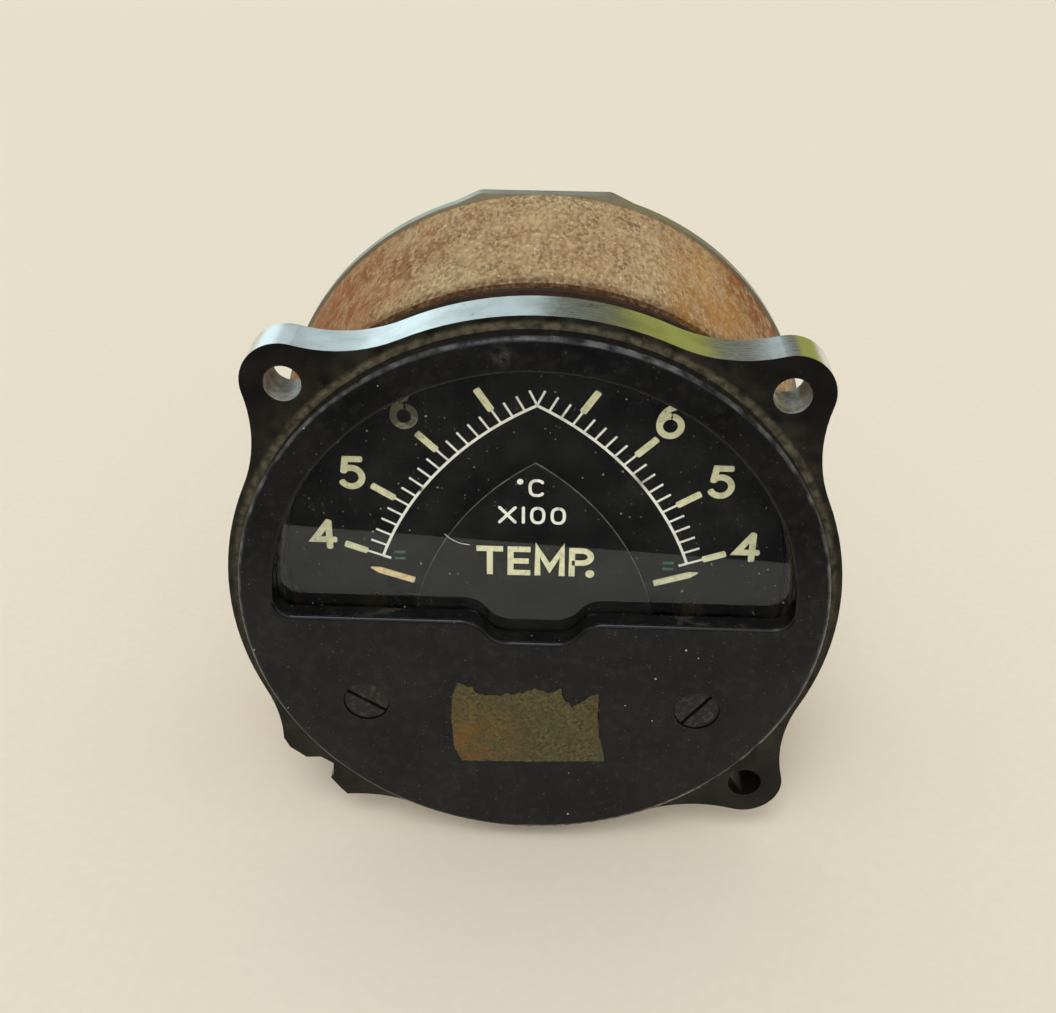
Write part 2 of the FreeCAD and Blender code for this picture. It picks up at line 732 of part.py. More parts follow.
def dial_set():
    face = disc("dial_round", "dial_radius", "dial_front", "dial_thickness")
    above = centred_box("dial_above", "rim_radius", "dial_front", "dial_thickness",
                        "-dial_foot_drop", "rim_radius")
    tabs = []
    for number, (x, z) in enumerate(DIAL_SCREWS):
        tabs.append(disc(f"dial_tab_end_{number}", "dial_tab_half", "dial_front", "dial_thickness", x, z))
        tabs.append(box(f"dial_tab_{number}", f"{x}-dial_tab_half", "dial_front", z,
                        "2*dial_tab_half", "dial_thickness", "dial_screw_drop-dial_foot_drop+overrun"))
    holes = clearance_holes("dial_hole", DIAL_SCREWS, "dial_front", "dial_thickness")
    node("main_dial", cut("main_dial", fuse("dial_blank", common("dial_dee", face, above), *tabs), *holes))
    post_set("dial_posts", DIAL_SCREWS, "dial_front+dial_thickness")
    screws = []
    slots = []
    for number, (x, z) in enumerate(DIAL_SCREWS):
        screws.append(screw(f"dial_screw_{number}", "small", "dial_front", x, z, "dial_thickness+post_bite"))
        slots.append(box(f"dial_screw_slot_{number}", f"{x}-small_slot_width/2",
                         "dial_front-small_head_thickness-overrun", f"{z}-small_head_radius-overrun",
                         "small_slot_width", "small_slot_depth+overrun", "2*(small_head_radius+overrun)"))
    node("dial_screws", cut("dial_screws", group("dial_screw_pair", *screws), *slots))


def centre_plate_set():
    arcs = [disc(f"centre_arc_{number}", "centre_plate_radius", "centre_plate_front",
                 "centre_plate_thickness", f"{side}*pivot_x", PIVOT_Z)
            for number, side in enumerate((-1, 1))]
    above = centred_box("centre_above", "rim_radius", "centre_plate_front", "centre_plate_thickness",
                        "-centre_plate_foot_drop", "rim_radius")
    arch = common("centre_arch", *arcs, above)
    tongue = centred_box("centre_tongue", "tongue_half", "centre_plate_front", "centre_plate_thickness",
                         "-tongue_drop", "-centre_plate_foot_drop+overrun")
    holes = clearance_holes("tongue_hole", TONGUE_SCREWS, "centre_plate_front", "centre_plate_thickness")
    node("centre_plate", cut("centre_plate", fuse("centre_blank", arch, tongue), *holes))
    post_set("centre_plate_posts", TONGUE_SCREWS, "centre_plate_front+centre_plate_thickness")
    screws = [screw(f"centre_screw_{number}", "small", "centre_plate_front", x, z,
                    "centre_plate_thickness+post_bite") for number, (x, z) in enumerate(TONGUE_SCREWS)]
    node("centre_plate_screws", group("centre_plate_screws", *screws))


# Movement chassis

CHASSIS_BACK = "chassis_front+chassis_thickness"


def pillar_places():
    """x and z expressions of the four pillars between the chassis plate and the rear plate."""
    places = []
    for side in (-1, 1):
        places.append((f"{side}*pillar_circle*cos(pillar_top_angle)", "pillar_circle*sin(pillar_top_angle)"))
        places.append((f"{side}*pillar_circle*cos(pillar_low_angle)", "-pillar_circle*sin(pillar_low_angle)"))
    return places


def pole_post_places():
    """Places of the posts that carry the pole pieces, about the pivot."""
    return [(f"{side}*pole_post_x", f"{level}*pole_post_z") for side in (-1, 1) for level in (-1, 1)]


def chassis():
    sheet_disc = disc("chassis_disc", "chassis_radius", "chassis_front", "chassis_thickness")
    holes = [disc(f"chassis_staff_hole_{number}", "chassis_hole_radius", "chassis_front-overrun",
                  "chassis_thickness+2*overrun", f"{side}*pivot_x", PIVOT_Z)
             for number, side in enumerate((-1, 1))]
    holes += [disc(f"chassis_screw_hole_{number}", "case_screw_radius", "chassis_front-overrun",
                   "chassis_thickness+2*overrun", x, z) for number, (x, z) in enumerate(pillar_places())]
    node("chassis_plate", cut("chassis_plate", sheet_disc, *holes))
    pillar_length = f"{REAR_INSIDE}-({CHASSIS_BACK})"
    pillars = []
    screws = []
    for number, (x, z) in enumerate(pillar_places()):
        bar = disc(f"pillar_{number}", "pillar_radius", CHASSIS_BACK, pillar_length, x, z)
        front = disc(f"pillar_front_hole_{number}", "case_screw_radius", CHASSIS_BACK, "screw_bite", x, z)
        rear = disc(f"pillar_rear_hole_{number}", "case_screw_radius", f"{REAR_INSIDE}-screw_bite",
                    "screw_bite", x, z)
        pillars.append(cut(f"pillar_tapped_{number}", bar, front, rear))
        screws.append(screw(f"pillar_front_screw_{number}", "case", "chassis_front", x, z,
                            "chassis_thickness+screw_bite"))
        screws.append(screw(f"pillar_rear_screw_{number}", "case", "rear_face", x, z,
                            f"{REAR_DEPTH}+screw_bite", 1))
    node("chassis_pillars", group("chassis_pillars", *pillars))
    node("chassis_screws", group("chassis_screws", *screws))


# One movement, modelled about the Y axis and then set on its pivot

CORE_BACK = "core_front+core_length"
COIL_INNER = "core_radius+coil_air_gap"
COIL_OUTER = "core_radius+coil_air_gap+coil_winding"
COIL_FRONT = "core_front-coil_end_gap-coil_winding"
COIL_BACK = "core_front+core_length+coil_end_gap+coil_winding"
BRIDGE_BACK = "bridge_front+bridge_thickness"
JEWEL_END = "bridge_front+bridge_thickness+jewel_screw_reach"
REAR_JEWEL_END = "rear_bridge_front-rear_jewel_screw_reach"
REAR_STRAP_BACK = "rear_bridge_front+bridge_thickness"
REAR_REACH = "sqrt(pole_post_x^2+pole_post_z^2)"
DIAGONAL = "atan(pole_post_z/pole_post_x)"


def on_pivot(name, part, side):
    """Set a piece modelled about the Y axis on the pivot of one side."""
    holder = group(name, part)
    return place(holder, f"{side}*pivot_x", "0", PIVOT_Z)


def both_movements(base, part, angle=None):
    """Nodes for the two movements: the piece on its pivot and its mirror image."""
    if angle is None:
        first = on_pivot(f"left_scale_{base}", part, 1)
    else:
        first = turned_about(f"left_scale_{base}", part, angle, "pivot_x", PIVOT_Z)
    node(f"left_scale_{base}", first)
    node(f"right_scale_{base}", mirrored(f"right_scale_{base}", first))


def magnets_and_poles():
    half = "pole_half_width+magnet_leg"
    outer = centred_box("magnet_outer", half, "core_front", "core_length",
                        "-magnet_foot_drop", "magnet_bow_rise")
    bow = disc("magnet_bow", half, "core_front", "core_length", "0", "magnet_bow_rise")
    tool_front = "core_front-overrun"
    tool_depth = "core_length+2*overrun"
    inner = centred_box("magnet_inner", "pole_half_width", tool_front, tool_depth,
                        "-magnet_foot_drop-overrun", "magnet_bow_rise")
    inner_bow = disc("magnet_inner_bow", "pole_half_width", tool_front, tool_depth, "0", "magnet_bow_rise")
    solid = fuse("magnet_solid", outer, bow)
    both_movements("magnet", cut("magnet_horseshoe", solid, fuse("magnet_hollow", inner, inner_bow)))

    block = centred_box("pole_block", "pole_half_width", "core_front", "core_length",
                        "-pole_half_height", "pole_half_height")
    bore = disc("pole_bore", "pole_bore_radius", tool_front, tool_depth)
    gap = centred_box("pole_gap", "pole_gap_half", tool_front, tool_depth,
                      "-pole_half_height-overrun", "pole_half_height+overrun")
    both_movements("pole_pieces", cut("pole_pieces", block, bore, gap))

    both_movements("core", disc("core", "core_radius", "core_front", "core_length"))

    stem = centred_box("core_stem", "bracket_half", CORE_BACK, "bracket_thickness",
                       "-pole_half_height", "pole_half_height")
    bars = [centred_box(f"core_bar_{number}", "bracket_bar_half", CORE_BACK, "bracket_thickness",
                        f"{side}*(pole_half_height-bracket_half/2)-bracket_half/2",
                        f"{side}*(pole_half_height-bracket_half/2)+bracket_half/2")
            for number, side in enumerate((-1, 1))]
    bracket = fuse("core_bracket", stem, *bars)
    first = on_pivot("core_bracket_first", bracket, 1)
    node("core_brackets", group("core_brackets", first, mirrored("core_bracket_second", first)))

    posts = []
    for number, (x, z) in enumerate(pole_post_places()):
        posts.append(disc(f"pole_post_{number}", "post_radius", CHASSIS_BACK,
                          f"core_front-({CHASSIS_BACK})", x, z))
    first = on_pivot("pole_posts_first", group("pole_post_four", *posts), 1)
    node("pole_posts", group("pole_posts", first, mirrored("pole_posts_second", first)))


def strap(name, front, boss_front, angle, reach):
    """A flat strap through the pivot with round ends and a boss, along +X before turning."""
    bar = centred_box(name + "_bar", reach, front, "bridge_thickness", "-bridge_half", "bridge_half")
    boss = disc(name + "_boss", "bridge_boss_radius", boss_front, "bridge_boss_height")
    bore = disc(name + "_bore", "jewel_screw_radius", f"{front}-bridge_boss_height-overrun",
                "bridge_thickness+2*(bridge_boss_height+overrun)")
    ends = []
    holes = []
    for number, side in enumerate((-1, 1)):
        ends.append(disc(f"{name}_end_{number}", "bridge_half", front, "bridge_thickness",
                         f"{side}*({reach})"))
        holes.append(disc(f"{name}_hole_{number}", "small_screw_radius", f"{front}-overrun",
                          "bridge_thickness+2*overrun", f"{side}*({reach})"))
    flat = cut(name + "_flat", fuse(name + "_sum", bar, *ends, boss), bore, *holes)
    return turned_about(name, flat, angle)


def bridges():
    front = strap("front_bridge", "bridge_front", "bridge_front-bridge_boss_height", "-bridge_angle",
                  "bridge_reach")
    both_movements("front_bridge", front)
    rear_strap = strap("rear_bridge", "rear_bridge_front", REAR_STRAP_BACK, f"-{DIAGONAL}", REAR_REACH)
    stake = disc("rear_stake", "stake_radius", "rear_spring_level",
                 "rear_bridge_front-rear_spring_level+bridge_thickness/2", "0", "-stake_reach")
    foot = centred_box("rear_stake_foot", "stake_radius", "rear_bridge_front", "bridge_thickness",
                       "-stake_reach-stake_radius", "-(bridge_half+jewel_screw_radius)/2")
    both_movements("rear_bridge", fuse("rear_bridge_whole", rear_strap, stake, foot))

    posts = []
    screws = []
    for number, side in enumerate((-1, 1)):
        x = f"{side}*bridge_reach*cos(bridge_angle)"
        z = f"{side}*bridge_reach*sin(bridge_angle)"
        post = disc(f"front_post_{number}", "post_radius", BRIDGE_BACK,
                    f"chassis_front-({BRIDGE_BACK})", x, z)
        hole = disc(f"front_post_hole_{number}", "small_screw_radius", BRIDGE_BACK, "post_bite", x, z)
        posts.append(cut(f"front_post_tapped_{number}", post, hole))
        screws.append(screw(f"front_bridge_screw_{number}", "small", "bridge_front", x, z,
                            "bridge_thickness+post_bite"))
        x = f"{side}*pole_post_x"
        z = f"{side}*pole_post_z"
        post = disc(f"rear_post_{number}", "post_radius", CORE_BACK, f"rear_bridge_front-({CORE_BACK})", x, z)
        hole = disc(f"rear_post_hole_{number}", "small_screw_radius", "rear_bridge_front-post_bite",
                    "post_bite", x, z)
        posts.append(cut(f"rear_post_tapped_{number}", post, hole))
        screws.append(screw(f"rear_bridge_screw_{number}", "small", REAR_STRAP_BACK, x, z,
                            "bridge_thickness+post_bite", 1))
    for base, parts in (("bridge_posts", posts), ("bridge_screws", screws)):
        first = on_pivot(base + "_first", group(base + "_four", *parts), 1)
        node(base, group(base, first, mirrored(base + "_second", first)))


def jewel_screw(name, head_front, body_front, body_depth, cup_front):
    """A hollow-ended screw that holds one end of a staff."""
    head = disc(name + "_head", "jewel_head_radius", head_front, "jewel_head_thickness")
    body = disc(name + "_body", "jewel_screw_radius", body_front, body_depth)
    cup = disc(name + "_cup", "jewel_cup_radius", cup_front, "jewel_cup_depth")
    return cut(name, fuse(name + "_solid", head, body), cup)


def jewel_screws():
    head_front = "bridge_front-bridge_boss_height-jewel_head_thickness"
    front = jewel_screw("front_jewel", head_front, head_front, f"{JEWEL_END}-({head_front})",
                        f"{JEWEL_END}-jewel_cup_depth")
    rear_head = f"{REAR_STRAP_BACK}+bridge_boss_height"
    rear = jewel_screw("rear_jewel", rear_head, REAR_JEWEL_END,
                       f"{rear_head}+jewel_head_thickness-({REAR_JEWEL_END})", REAR_JEWEL_END)
    first = on_pivot("jewel_screws_first", group("jewel_screw_pair", front, rear), 1)
    node("jewel_screws", group("jewel_screws", first, mirrored("jewel_screws_second", first)))


def coils_and_staffs():
    outer = centred_box("coil_outer", COIL_OUTER, COIL_FRONT, f"{COIL_BACK}-({COIL_FRONT})",
                        "-coil_width/2", "coil_width/2")
    softened = rounded("coil_outer_round", outer, "coil_end_gap",
                       lambda edge: abs(edge.BoundBox.ZLength - size("coil_width")) < 1e-4)
    window = centred_box("coil_window", COIL_INNER, "core_front-coil_end_gap", "core_length+2*coil_end_gap",
                         "-coil_width", "coil_width")
    coil = cut("coil_ring", softened, window)
    both_movements("coil", coil, "-coil_mid_angle")

    front_foot = disc("front_staff_foot", "staff_foot_radius", f"{COIL_FRONT}-staff_foot_thickness",
                      "staff_foot_thickness")
    front_start = f"{JEWEL_END}+staff_end_gap"
    front_bar = disc("front_staff_bar", "staff_radius", front_start,
                     f"{COIL_FRONT}-staff_foot_thickness-({front_start})")
    front_tip = cone("front_staff_tip", "staff_tip_radius", "staff_radius", f"{front_start}-jewel_cup_depth",
                     "jewel_cup_depth")
    rear_foot = disc("rear_staff_foot", "staff_foot_radius", COIL_BACK, "staff_foot_thickness")
    rear_bar = disc("rear_staff_bar", "staff_radius", f"{COIL_BACK}+staff_foot_thickness",
                    f"{REAR_JEWEL_END}-staff_end_gap-({COIL_BACK}+staff_foot_thickness)")
    rear_tip = cone("rear_staff_tip", "staff_radius", "staff_tip_radius",
                    f"{REAR_JEWEL_END}-staff_end_gap", "jewel_cup_depth")
    staffs = group("staff_halves", fuse("front_staff", front_foot, front_bar, front_tip),
                   fuse("rear_staff", rear_foot, rear_bar, rear_tip))
    both_movements("staffs", staffs)


def pointer(name, side, level):
    """A tapered hand along +X or -X, turned to its rest angle and set on its pivot."""
    blade = plate(name + "_blade", [
        (f"-{side}*pointer_tail", "-pointer_root_half"),
        (f"{side}*pointer_hub_radius", "-pointer_root_half"),
        (f"{side}*pointer_neck_reach", "-pointer_neck_half"),
        (f"{side}*(pointer_length-pointer_point)", "-pointer_neck_half"),
        (f"{side}*pointer_length", "0"),
        (f"{side}*(pointer_length-pointer_point)", "pointer_neck_half"),
        (f"{side}*pointer_neck_reach", "pointer_neck_half"),
        (f"{side}*pointer_hub_radius", "pointer_root_half"),
        (f"-{side}*pointer_tail", "pointer_root_half"),
    ], level, "pointer_thickness")
    hub = disc(name + "_hub", "pointer_hub_radius", level, "2*pointer_thickness")
    bore = disc(name + "_bore", "staff_radius", f"{level}-overrun", "2*(pointer_thickness+overrun)")
    flat = cut(name + "_flat", fuse(name + "_sum", blade, hub), bore)
    node(name, turned_about(name, flat, f"-({side})*pointer_rest_angle", f"-({side})*pivot_x", PIVOT_Z))


def balance():
    bore = disc("balance_bore", "staff_radius", "balance_level-overrun", "2*(balance_thickness+overrun)")
    hub = disc("balance_hub", "pointer_hub_radius", "balance_level", "2*balance_thickness")
    across = centred_box("balance_across", "balance_half", "balance_level", "balance_thickness",
                         "-balance_reach", "balance_reach")
    tail = box("balance_tail", "0", "balance_level", "-balance_half", "balance_reach", "balance_thickness",
               "2*balance_half")
    arms = cut("balance_arms", fuse("balance_sum", hub, across, tail), bore)
    both_movements("balance_arms", arms, "pointer_rest_angle")
    weights = []
    for number, (x, z) in enumerate((("0", "1"), ("0", "-1"), ("1", "0"))):
        at_x = f"{x}*(balance_reach-weight_radius)"
        at_z = f"{z}*(balance_reach-weight_radius)"
        weights.append(disc(f"weight_{number}", "weight_radius", "balance_level+balance_thickness",
                            "weight_thickness", at_x, at_z))
    both_movements("balance_weights", group("balance_weights", *weights), "pointer_rest_angle")


def spiral_side(offset):
    """Half-circle arcs whose centres alternate: one side of the strip, at offset from its middle."""
    pitch = size("spring_pitch")
    arcs = []
    for number in range(int(size("spring_halves"))):
        reach = size("spring_inner_radius") + pitch * (1 + 2 * number) / 4 + offset
        middle = 0 if number % 2 == 0 else pitch / 2
        side = 1 if number % 2 == 0 else -1
        start = Vector(middle + side * reach, 0, 0)
        top = Vector(middle, 0, side * reach)
        end = Vector(middle - side * reach, 0, 0)
        arcs.append(Part.Arc(start, top, end).toShape())
    return arcs


def hairspring(name, level):
    """A flat spiral strip with the collet that holds it on the staff."""
    half_strip = size("spring_strip") / 2
    height = size("spring_height")
    pitch = size("spring_pitch")
    inner = size("spring_inner_radius")
    along = Vector(0, 1, 0)
    near = spiral_side(-half_strip)
    far = spiral_side(half_strip)
    first = Part.makeLine(near[0].Vertexes[0].Point, far[0].Vertexes[0].Point)
    last = Part.makeLine(near[-1].Vertexes[-1].Point, far[-1].Vertexes[-1].Point)
    edges = Part.__sortEdges__(near + [last] + far + [first])
    strip = Part.Face(Part.Wire(edges)).extrude(along * height)
    collet = Part.makeCylinder(inner, height, Vector(), along)
    clamp = Part.makeBox(pitch / 4 + inner / 2 + half_strip, height, pitch / 4,
                         Vector(inner / 2, 0, -pitch / 4))
    bore = Part.makeCylinder(size("staff_radius"), 2 * height, -along * height / 2, along)
    spring = document.addObject("Part::Feature", name)
    spring.Shape = strip.fuse([clamp, collet]).cut(bore).removeSplitter()
    return bind(spring, Placement__Base__y=level)


def hairsprings():
    both_movements("front_hairspring", hairspring("front_spiral", "spring_level"))
    both_movements("rear_hairspring", hairspring("rear_spiral", "rear_spring_level"))


# Zero adjusters

ARM_REACH = "sqrt((zero_screw_x-pivot_x)^2+(zero_screw_drop-pivot_drop)^2)"
ARM_ANGLE = "atan((zero_screw_drop-pivot_drop)/(zero_screw_x-pivot_x))"


def zero_levers():
    """A forked lever on the boss of the front bridge, with the stake of the hairspring."""
    hub = disc("lever_hub", "lever_hub_radius", "lever_front", "lever_thickness")
    arm = box("lever_arm", "0", "lever_front", "-lever_arm_half", "lever_arm_reach", "lever_thickness",
              "2*lever_arm_half")
    half_slot = "zero_pin_radius+lever_slot_clearance"
    slot = box("lever_slot", "lever_slot_start", "lever_front-overrun", f"-({half_slot})",
               "lever_arm_reach", "lever_thickness+2*overrun", f"2*({half_slot})")
    forked = cut("lever_forked", fuse("lever_arm_and_hub", hub, arm), slot)
    swung = turned_about("lever_swung", forked, ARM_ANGLE)
    tail = centred_box("lever_tail", "lever_tail_half", "lever_front", "lever_thickness",
                       "-stake_reach-lever_tail_half", "0")
    stake = disc("lever_stake", "stake_radius", "lever_front", "spring_level+spring_height-lever_front",
                 "0", "-stake_reach")
    bore = disc("lever_bore", "bridge_boss_radius+lever_clearance", "lever_front-overrun",
                "lever_thickness+2*overrun")
    lever = cut("zero_lever", fuse("lever_sum", swung, tail, stake), bore)
    both_movements("zero_lever", lever)


def zero_screw(name, side, slot_angle):
    """A slotted head flush in the cover, a shank and an eccentric pin."""
    where = (f"{side}*zero_screw_x", "-zero_screw_drop")
    head_front = "-cover_proud+zero_head_sink"
    head = disc(name + "_head", "zero_head_radius", head_front, "zero_head_thickness", *where)
    shank = disc(name + "_shank", "zero_shank_radius", head_front, f"zero_shank_end-({head_front})", *where)
    pin_x = f"{side}*(zero_screw_x+zero_pin_offset*cos({ARM_ANGLE}))"
    pin_z = f"-zero_screw_drop-zero_pin_offset*sin({ARM_ANGLE})"
    pin = disc(name + "_pin", "zero_pin_radius", "zero_shank_end", "zero_pin_length", pin_x, pin_z)
    slot = centred_box(name + "_slot", "zero_head_radius+overrun", f"{head_front}-overrun",
                       "zero_slot_depth+overrun", "-zero_slot_width/2", "zero_slot_width/2")
    cutter = turned_about(name + "_cutter", slot, slot_angle, *where)
    node(name, cut(name, fuse(name + "_solid", head, shank, pin), cutter))
    clip_front = "cover_back+clip_gap"
    clip = disc(name + "_clip_round", "clip_radius", clip_front, "clip_thickness", *where)
    bore = disc(name + "_clip_bore", "zero_shank_radius", f"{clip_front}-overrun",
                "clip_thickness+2*overrun", *where)
    node(name + "_clip", cut(name + "_clip", clip, bore))


mounting_flange()
front_cover()
window_stack()
case_and_rings()
rear_end()
dial_set()
centre_plate_set()
chassis()
magnets_and_poles()
bridges()
jewel_screws()
coils_and_staffs()
pointer("left_scale_pointer", -1, "pointer_level")
pointer("right_scale_pointer", 1, "pointer_level+pointer_level_step")
balance()
hairsprings()
zero_levers()
zero_screw("left_scale_zero_screw", 1, "left_zero_slot_angle")
zero_screw("right_scale_zero_screw", -1, "right_zero_slot_angle")

document.recompute()
failed = [thing.Name for thing in document.Objects if {"Invalid", "Error"} & set(thing.State)]
if failed:
    raise RuntimeError("failed: " + ", ".join(failed))
names = [part.Label for part in nodes]
if len(set(names)) != len(names):
    raise RuntimeError("two nodes share a name")
os.makedirs("parts", exist_ok=True)
for part in nodes:
    if part.Shape.isNull() or not part.Shape.isValid() or not part.Shape.Solids:
        raise RuntimeError("bad shape: " + part.Label)
    part.Shape.exportStep(f"parts/{part.Label}.step")
    print(part.Label, len(part.Shape.Solids), round(part.Shape.Volume, 2))
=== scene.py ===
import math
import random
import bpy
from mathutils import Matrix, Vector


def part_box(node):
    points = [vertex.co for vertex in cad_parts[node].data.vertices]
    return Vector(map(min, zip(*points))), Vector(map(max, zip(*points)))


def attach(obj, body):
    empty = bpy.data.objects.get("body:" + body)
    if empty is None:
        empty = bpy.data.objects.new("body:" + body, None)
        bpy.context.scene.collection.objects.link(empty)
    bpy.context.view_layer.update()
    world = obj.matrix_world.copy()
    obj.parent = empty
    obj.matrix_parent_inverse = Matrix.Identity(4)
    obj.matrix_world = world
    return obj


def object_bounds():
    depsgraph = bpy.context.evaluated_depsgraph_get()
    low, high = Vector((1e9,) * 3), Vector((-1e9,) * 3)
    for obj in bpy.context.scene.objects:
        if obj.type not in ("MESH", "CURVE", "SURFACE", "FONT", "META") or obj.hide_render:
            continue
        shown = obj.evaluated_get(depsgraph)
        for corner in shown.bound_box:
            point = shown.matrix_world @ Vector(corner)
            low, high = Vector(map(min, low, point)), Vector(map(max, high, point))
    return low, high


bl_info = {
    "name": "Exhaust temperature gauge",
    "version": (1, 0, 0),
    "blender": (4, 5, 0),
    "location": "3D View > Sidebar > Gauge",
    "description": "Finishes and printed detail for a round aircraft exhaust temperature gauge",
    "category": "Object",
}

from functools import partial

import bmesh
import bpy
from mathutils import Matrix, Vector, noise

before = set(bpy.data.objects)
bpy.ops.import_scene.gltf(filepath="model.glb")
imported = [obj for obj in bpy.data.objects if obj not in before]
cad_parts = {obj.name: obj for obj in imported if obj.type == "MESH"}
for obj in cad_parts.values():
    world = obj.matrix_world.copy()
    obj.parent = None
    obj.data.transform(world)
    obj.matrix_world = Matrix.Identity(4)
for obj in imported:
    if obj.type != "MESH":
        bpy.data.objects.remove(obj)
CAD_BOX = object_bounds()

# One millimetre in the scene's metres
MM = 0.001
# The flat front face of the cover
COVER_FACE = -2.5 * MM
# How far the mounting holes stand from the case axis, across and up
LUG_HOLE = 31.435 * MM


def linear(code):
    """An sRGB hex colour as the linear values a shader takes."""
    channels = [int(code[start:start + 2], 16) / 255 for start in (1, 3, 5)]
    return [value / 12.92 if value <= 0.04045 else ((value + 0.055) / 1.055) ** 2.4
            for value in channels] + [1.0]


def length(name, description, amount):
    """A size in millimetres as a property in metres."""
    return bpy.props.FloatProperty(name=name, description=description, default=amount * MM, unit="LENGTH",
                                   precision=5)


def angle(name, description, degrees):
    return bpy.props.FloatProperty(name=name, description=description, default=math.radians(degrees),
                                   subtype="ANGLE")


def colour(name, description, code):
    return bpy.props.FloatVectorProperty(name=name, description=description, default=linear(code),
                                         subtype="COLOR", size=4, min=0.0, max=1.0)


class GaugeSizes(bpy.types.PropertyGroup):
    scale_radius: length("Scale radius", "Radius of each scale line about its pointer's pivot", 42.0)
    scale_start: angle("Scale start", "Angle of the first mark above the horizontal", 19.45)
    scale_step: angle("Scale step", "Angle from one mark to the next", 2.456)
    line_width: length("Line width", "Width of the scale line; a thin mark is a fifth thinner", 0.38)
    mark_reach: length("Mark reach", "Length of a thin mark", 2.35)
    block_start: length("Block start", "From the scale line to the luminous block of a numbered mark", 2.2)
    block_reach: length("Block reach", "Length of a luminous block", 3.7)
    block_width: length("Block width", "Width of a luminous block", 0.95)
    ink_thickness: length("Ink thickness", "How far the print stands off the dial", 0.03)
    paint_thickness: length("Paint thickness", "How far the luminous paint stands off the dial", 0.09)
    numeral_height: length("Numeral height", "Height of a scale numeral, to the middle of its strokes", 4.15)
    numeral_stroke: length("Numeral stroke", "Width of a scale numeral's stroke", 0.88)
    unit_height: length("Unit height", "Height of the unit's letters, to the middle of their strokes", 2.25)
    unit_stroke: length("Unit stroke", "Width of the unit's strokes", 0.42)
    legend_height: length("Legend height", "Height of the legend's letters, to the middle of their strokes", 3.75)
    legend_stroke: length("Legend stroke", "Width of the legend's strokes", 0.82)
    tip_width: length("Tip width", "Width of a pointer's painted tip", 0.82)
    tip_start: length("Tip start", "From the pivot to the start of a pointer's painted tip", 36.9)
    label_thickness: length("Label thickness", "How far the label stands off the cover", 0.06)
    thread_pitch: length("Thread pitch", "Pitch of the thread on the terminal studs", 0.7)
    thread_depth: length("Thread rib", "Radius of the rib that stands for the thread", 0.2)
    thread_clear: length("Thread run-out", "From the nut, and from the stud's end, to the thread", 0.3)
    floor_half: length("Floor", "Half the width of the floor", 3000.0)


class GaugeColours(bpy.types.PropertyGroup):
    enamel: colour("Enamel", "Black stoving enamel of the cover and the flange's face", "#080808")
    dust: colour("Dust", "Grey-brown dust on the black parts", "#6E695A")
    silt: colour("Silt", "Brown dirt packed beside the cover", "#5E5845")
    edge_wear_and_highlight: colour("Bare edge", "Rubbed metal along the cover's edges", "#8C8F8C")
    aluminium: colour("Aluminium", "Bare machined aluminium", "#DCE0E1")
    dull_plate: colour("Rear plate", "Dulled aluminium of the rear plate", "#A9A899")
    plating: colour("Plating", "Dulled plating left on the shield", "#C4AE82")
    rust: colour("Rust", "Orange-brown rust on the shield", "#8E5420")
    rust_dark: colour("Dark rust", "Old rust in the shield's pits", "#4A2F1A")
    dial: colour("Dial", "Matt black of the dial and the plates round it", "#0B0B0B")
    print: colour("Print", "White ink of the scale lines", "#F6F6EC")
    cream: colour("Cream", "Aged luminous paint", "#E9E5BF")
    peach: colour("Peach", "Aged paint on the left pointer's tip", "#F7DBA6")
    mark_green: colour("Green", "Green index marks", "#1F5B46")
    brass: colour("Brass", "Yellow brass", "#B08D4E")
    bronze: colour("Bronze", "Phosphor bronze of the hairsprings", "#B07A4A")
    copper: colour("Copper", "Enamelled copper wire", "#8E4A24")
    steel: colour("Steel", "Plated steel of the screws", "#8C8C8A")
    polished: colour("Polished steel", "Hardened steel of the staffs", "#A4A5A8")
    spring: colour("Spring steel", "Rolled spring steel", "#77787A")
    magnet: colour("Magnet steel", "Ground magnet steel", "#5B5C5F")
    iron: colour("Soft iron", "Nickel flash on the pole pieces", "#8D8D88")
    label: colour("Label", "Torn paper and old glue of the label", "#5D5637")
    floor: colour("Floor", "Pale floor", "#EAE2CF")


def sizes():
    return bpy.context.scene.gauge_sizes


def colours():
    return bpy.context.scene.gauge_colours


# Shader building

def add(tree, kind, sockets=None, **settings):
    """Add a node with its settings; a socket takes a value, an output or a node, which gives its first output."""
    node = tree.nodes.new(kind)
    for name, value in settings.items():
        setattr(node, name, value)
    for name, value in (sockets or {}).items():
        if isinstance(value, bpy.types.Node):
            value = value.outputs[0]
        if isinstance(value, bpy.types.NodeSocket):
            tree.links.new(value, node.inputs[name])
        else:
            node.inputs[name].default_value = value
    return node


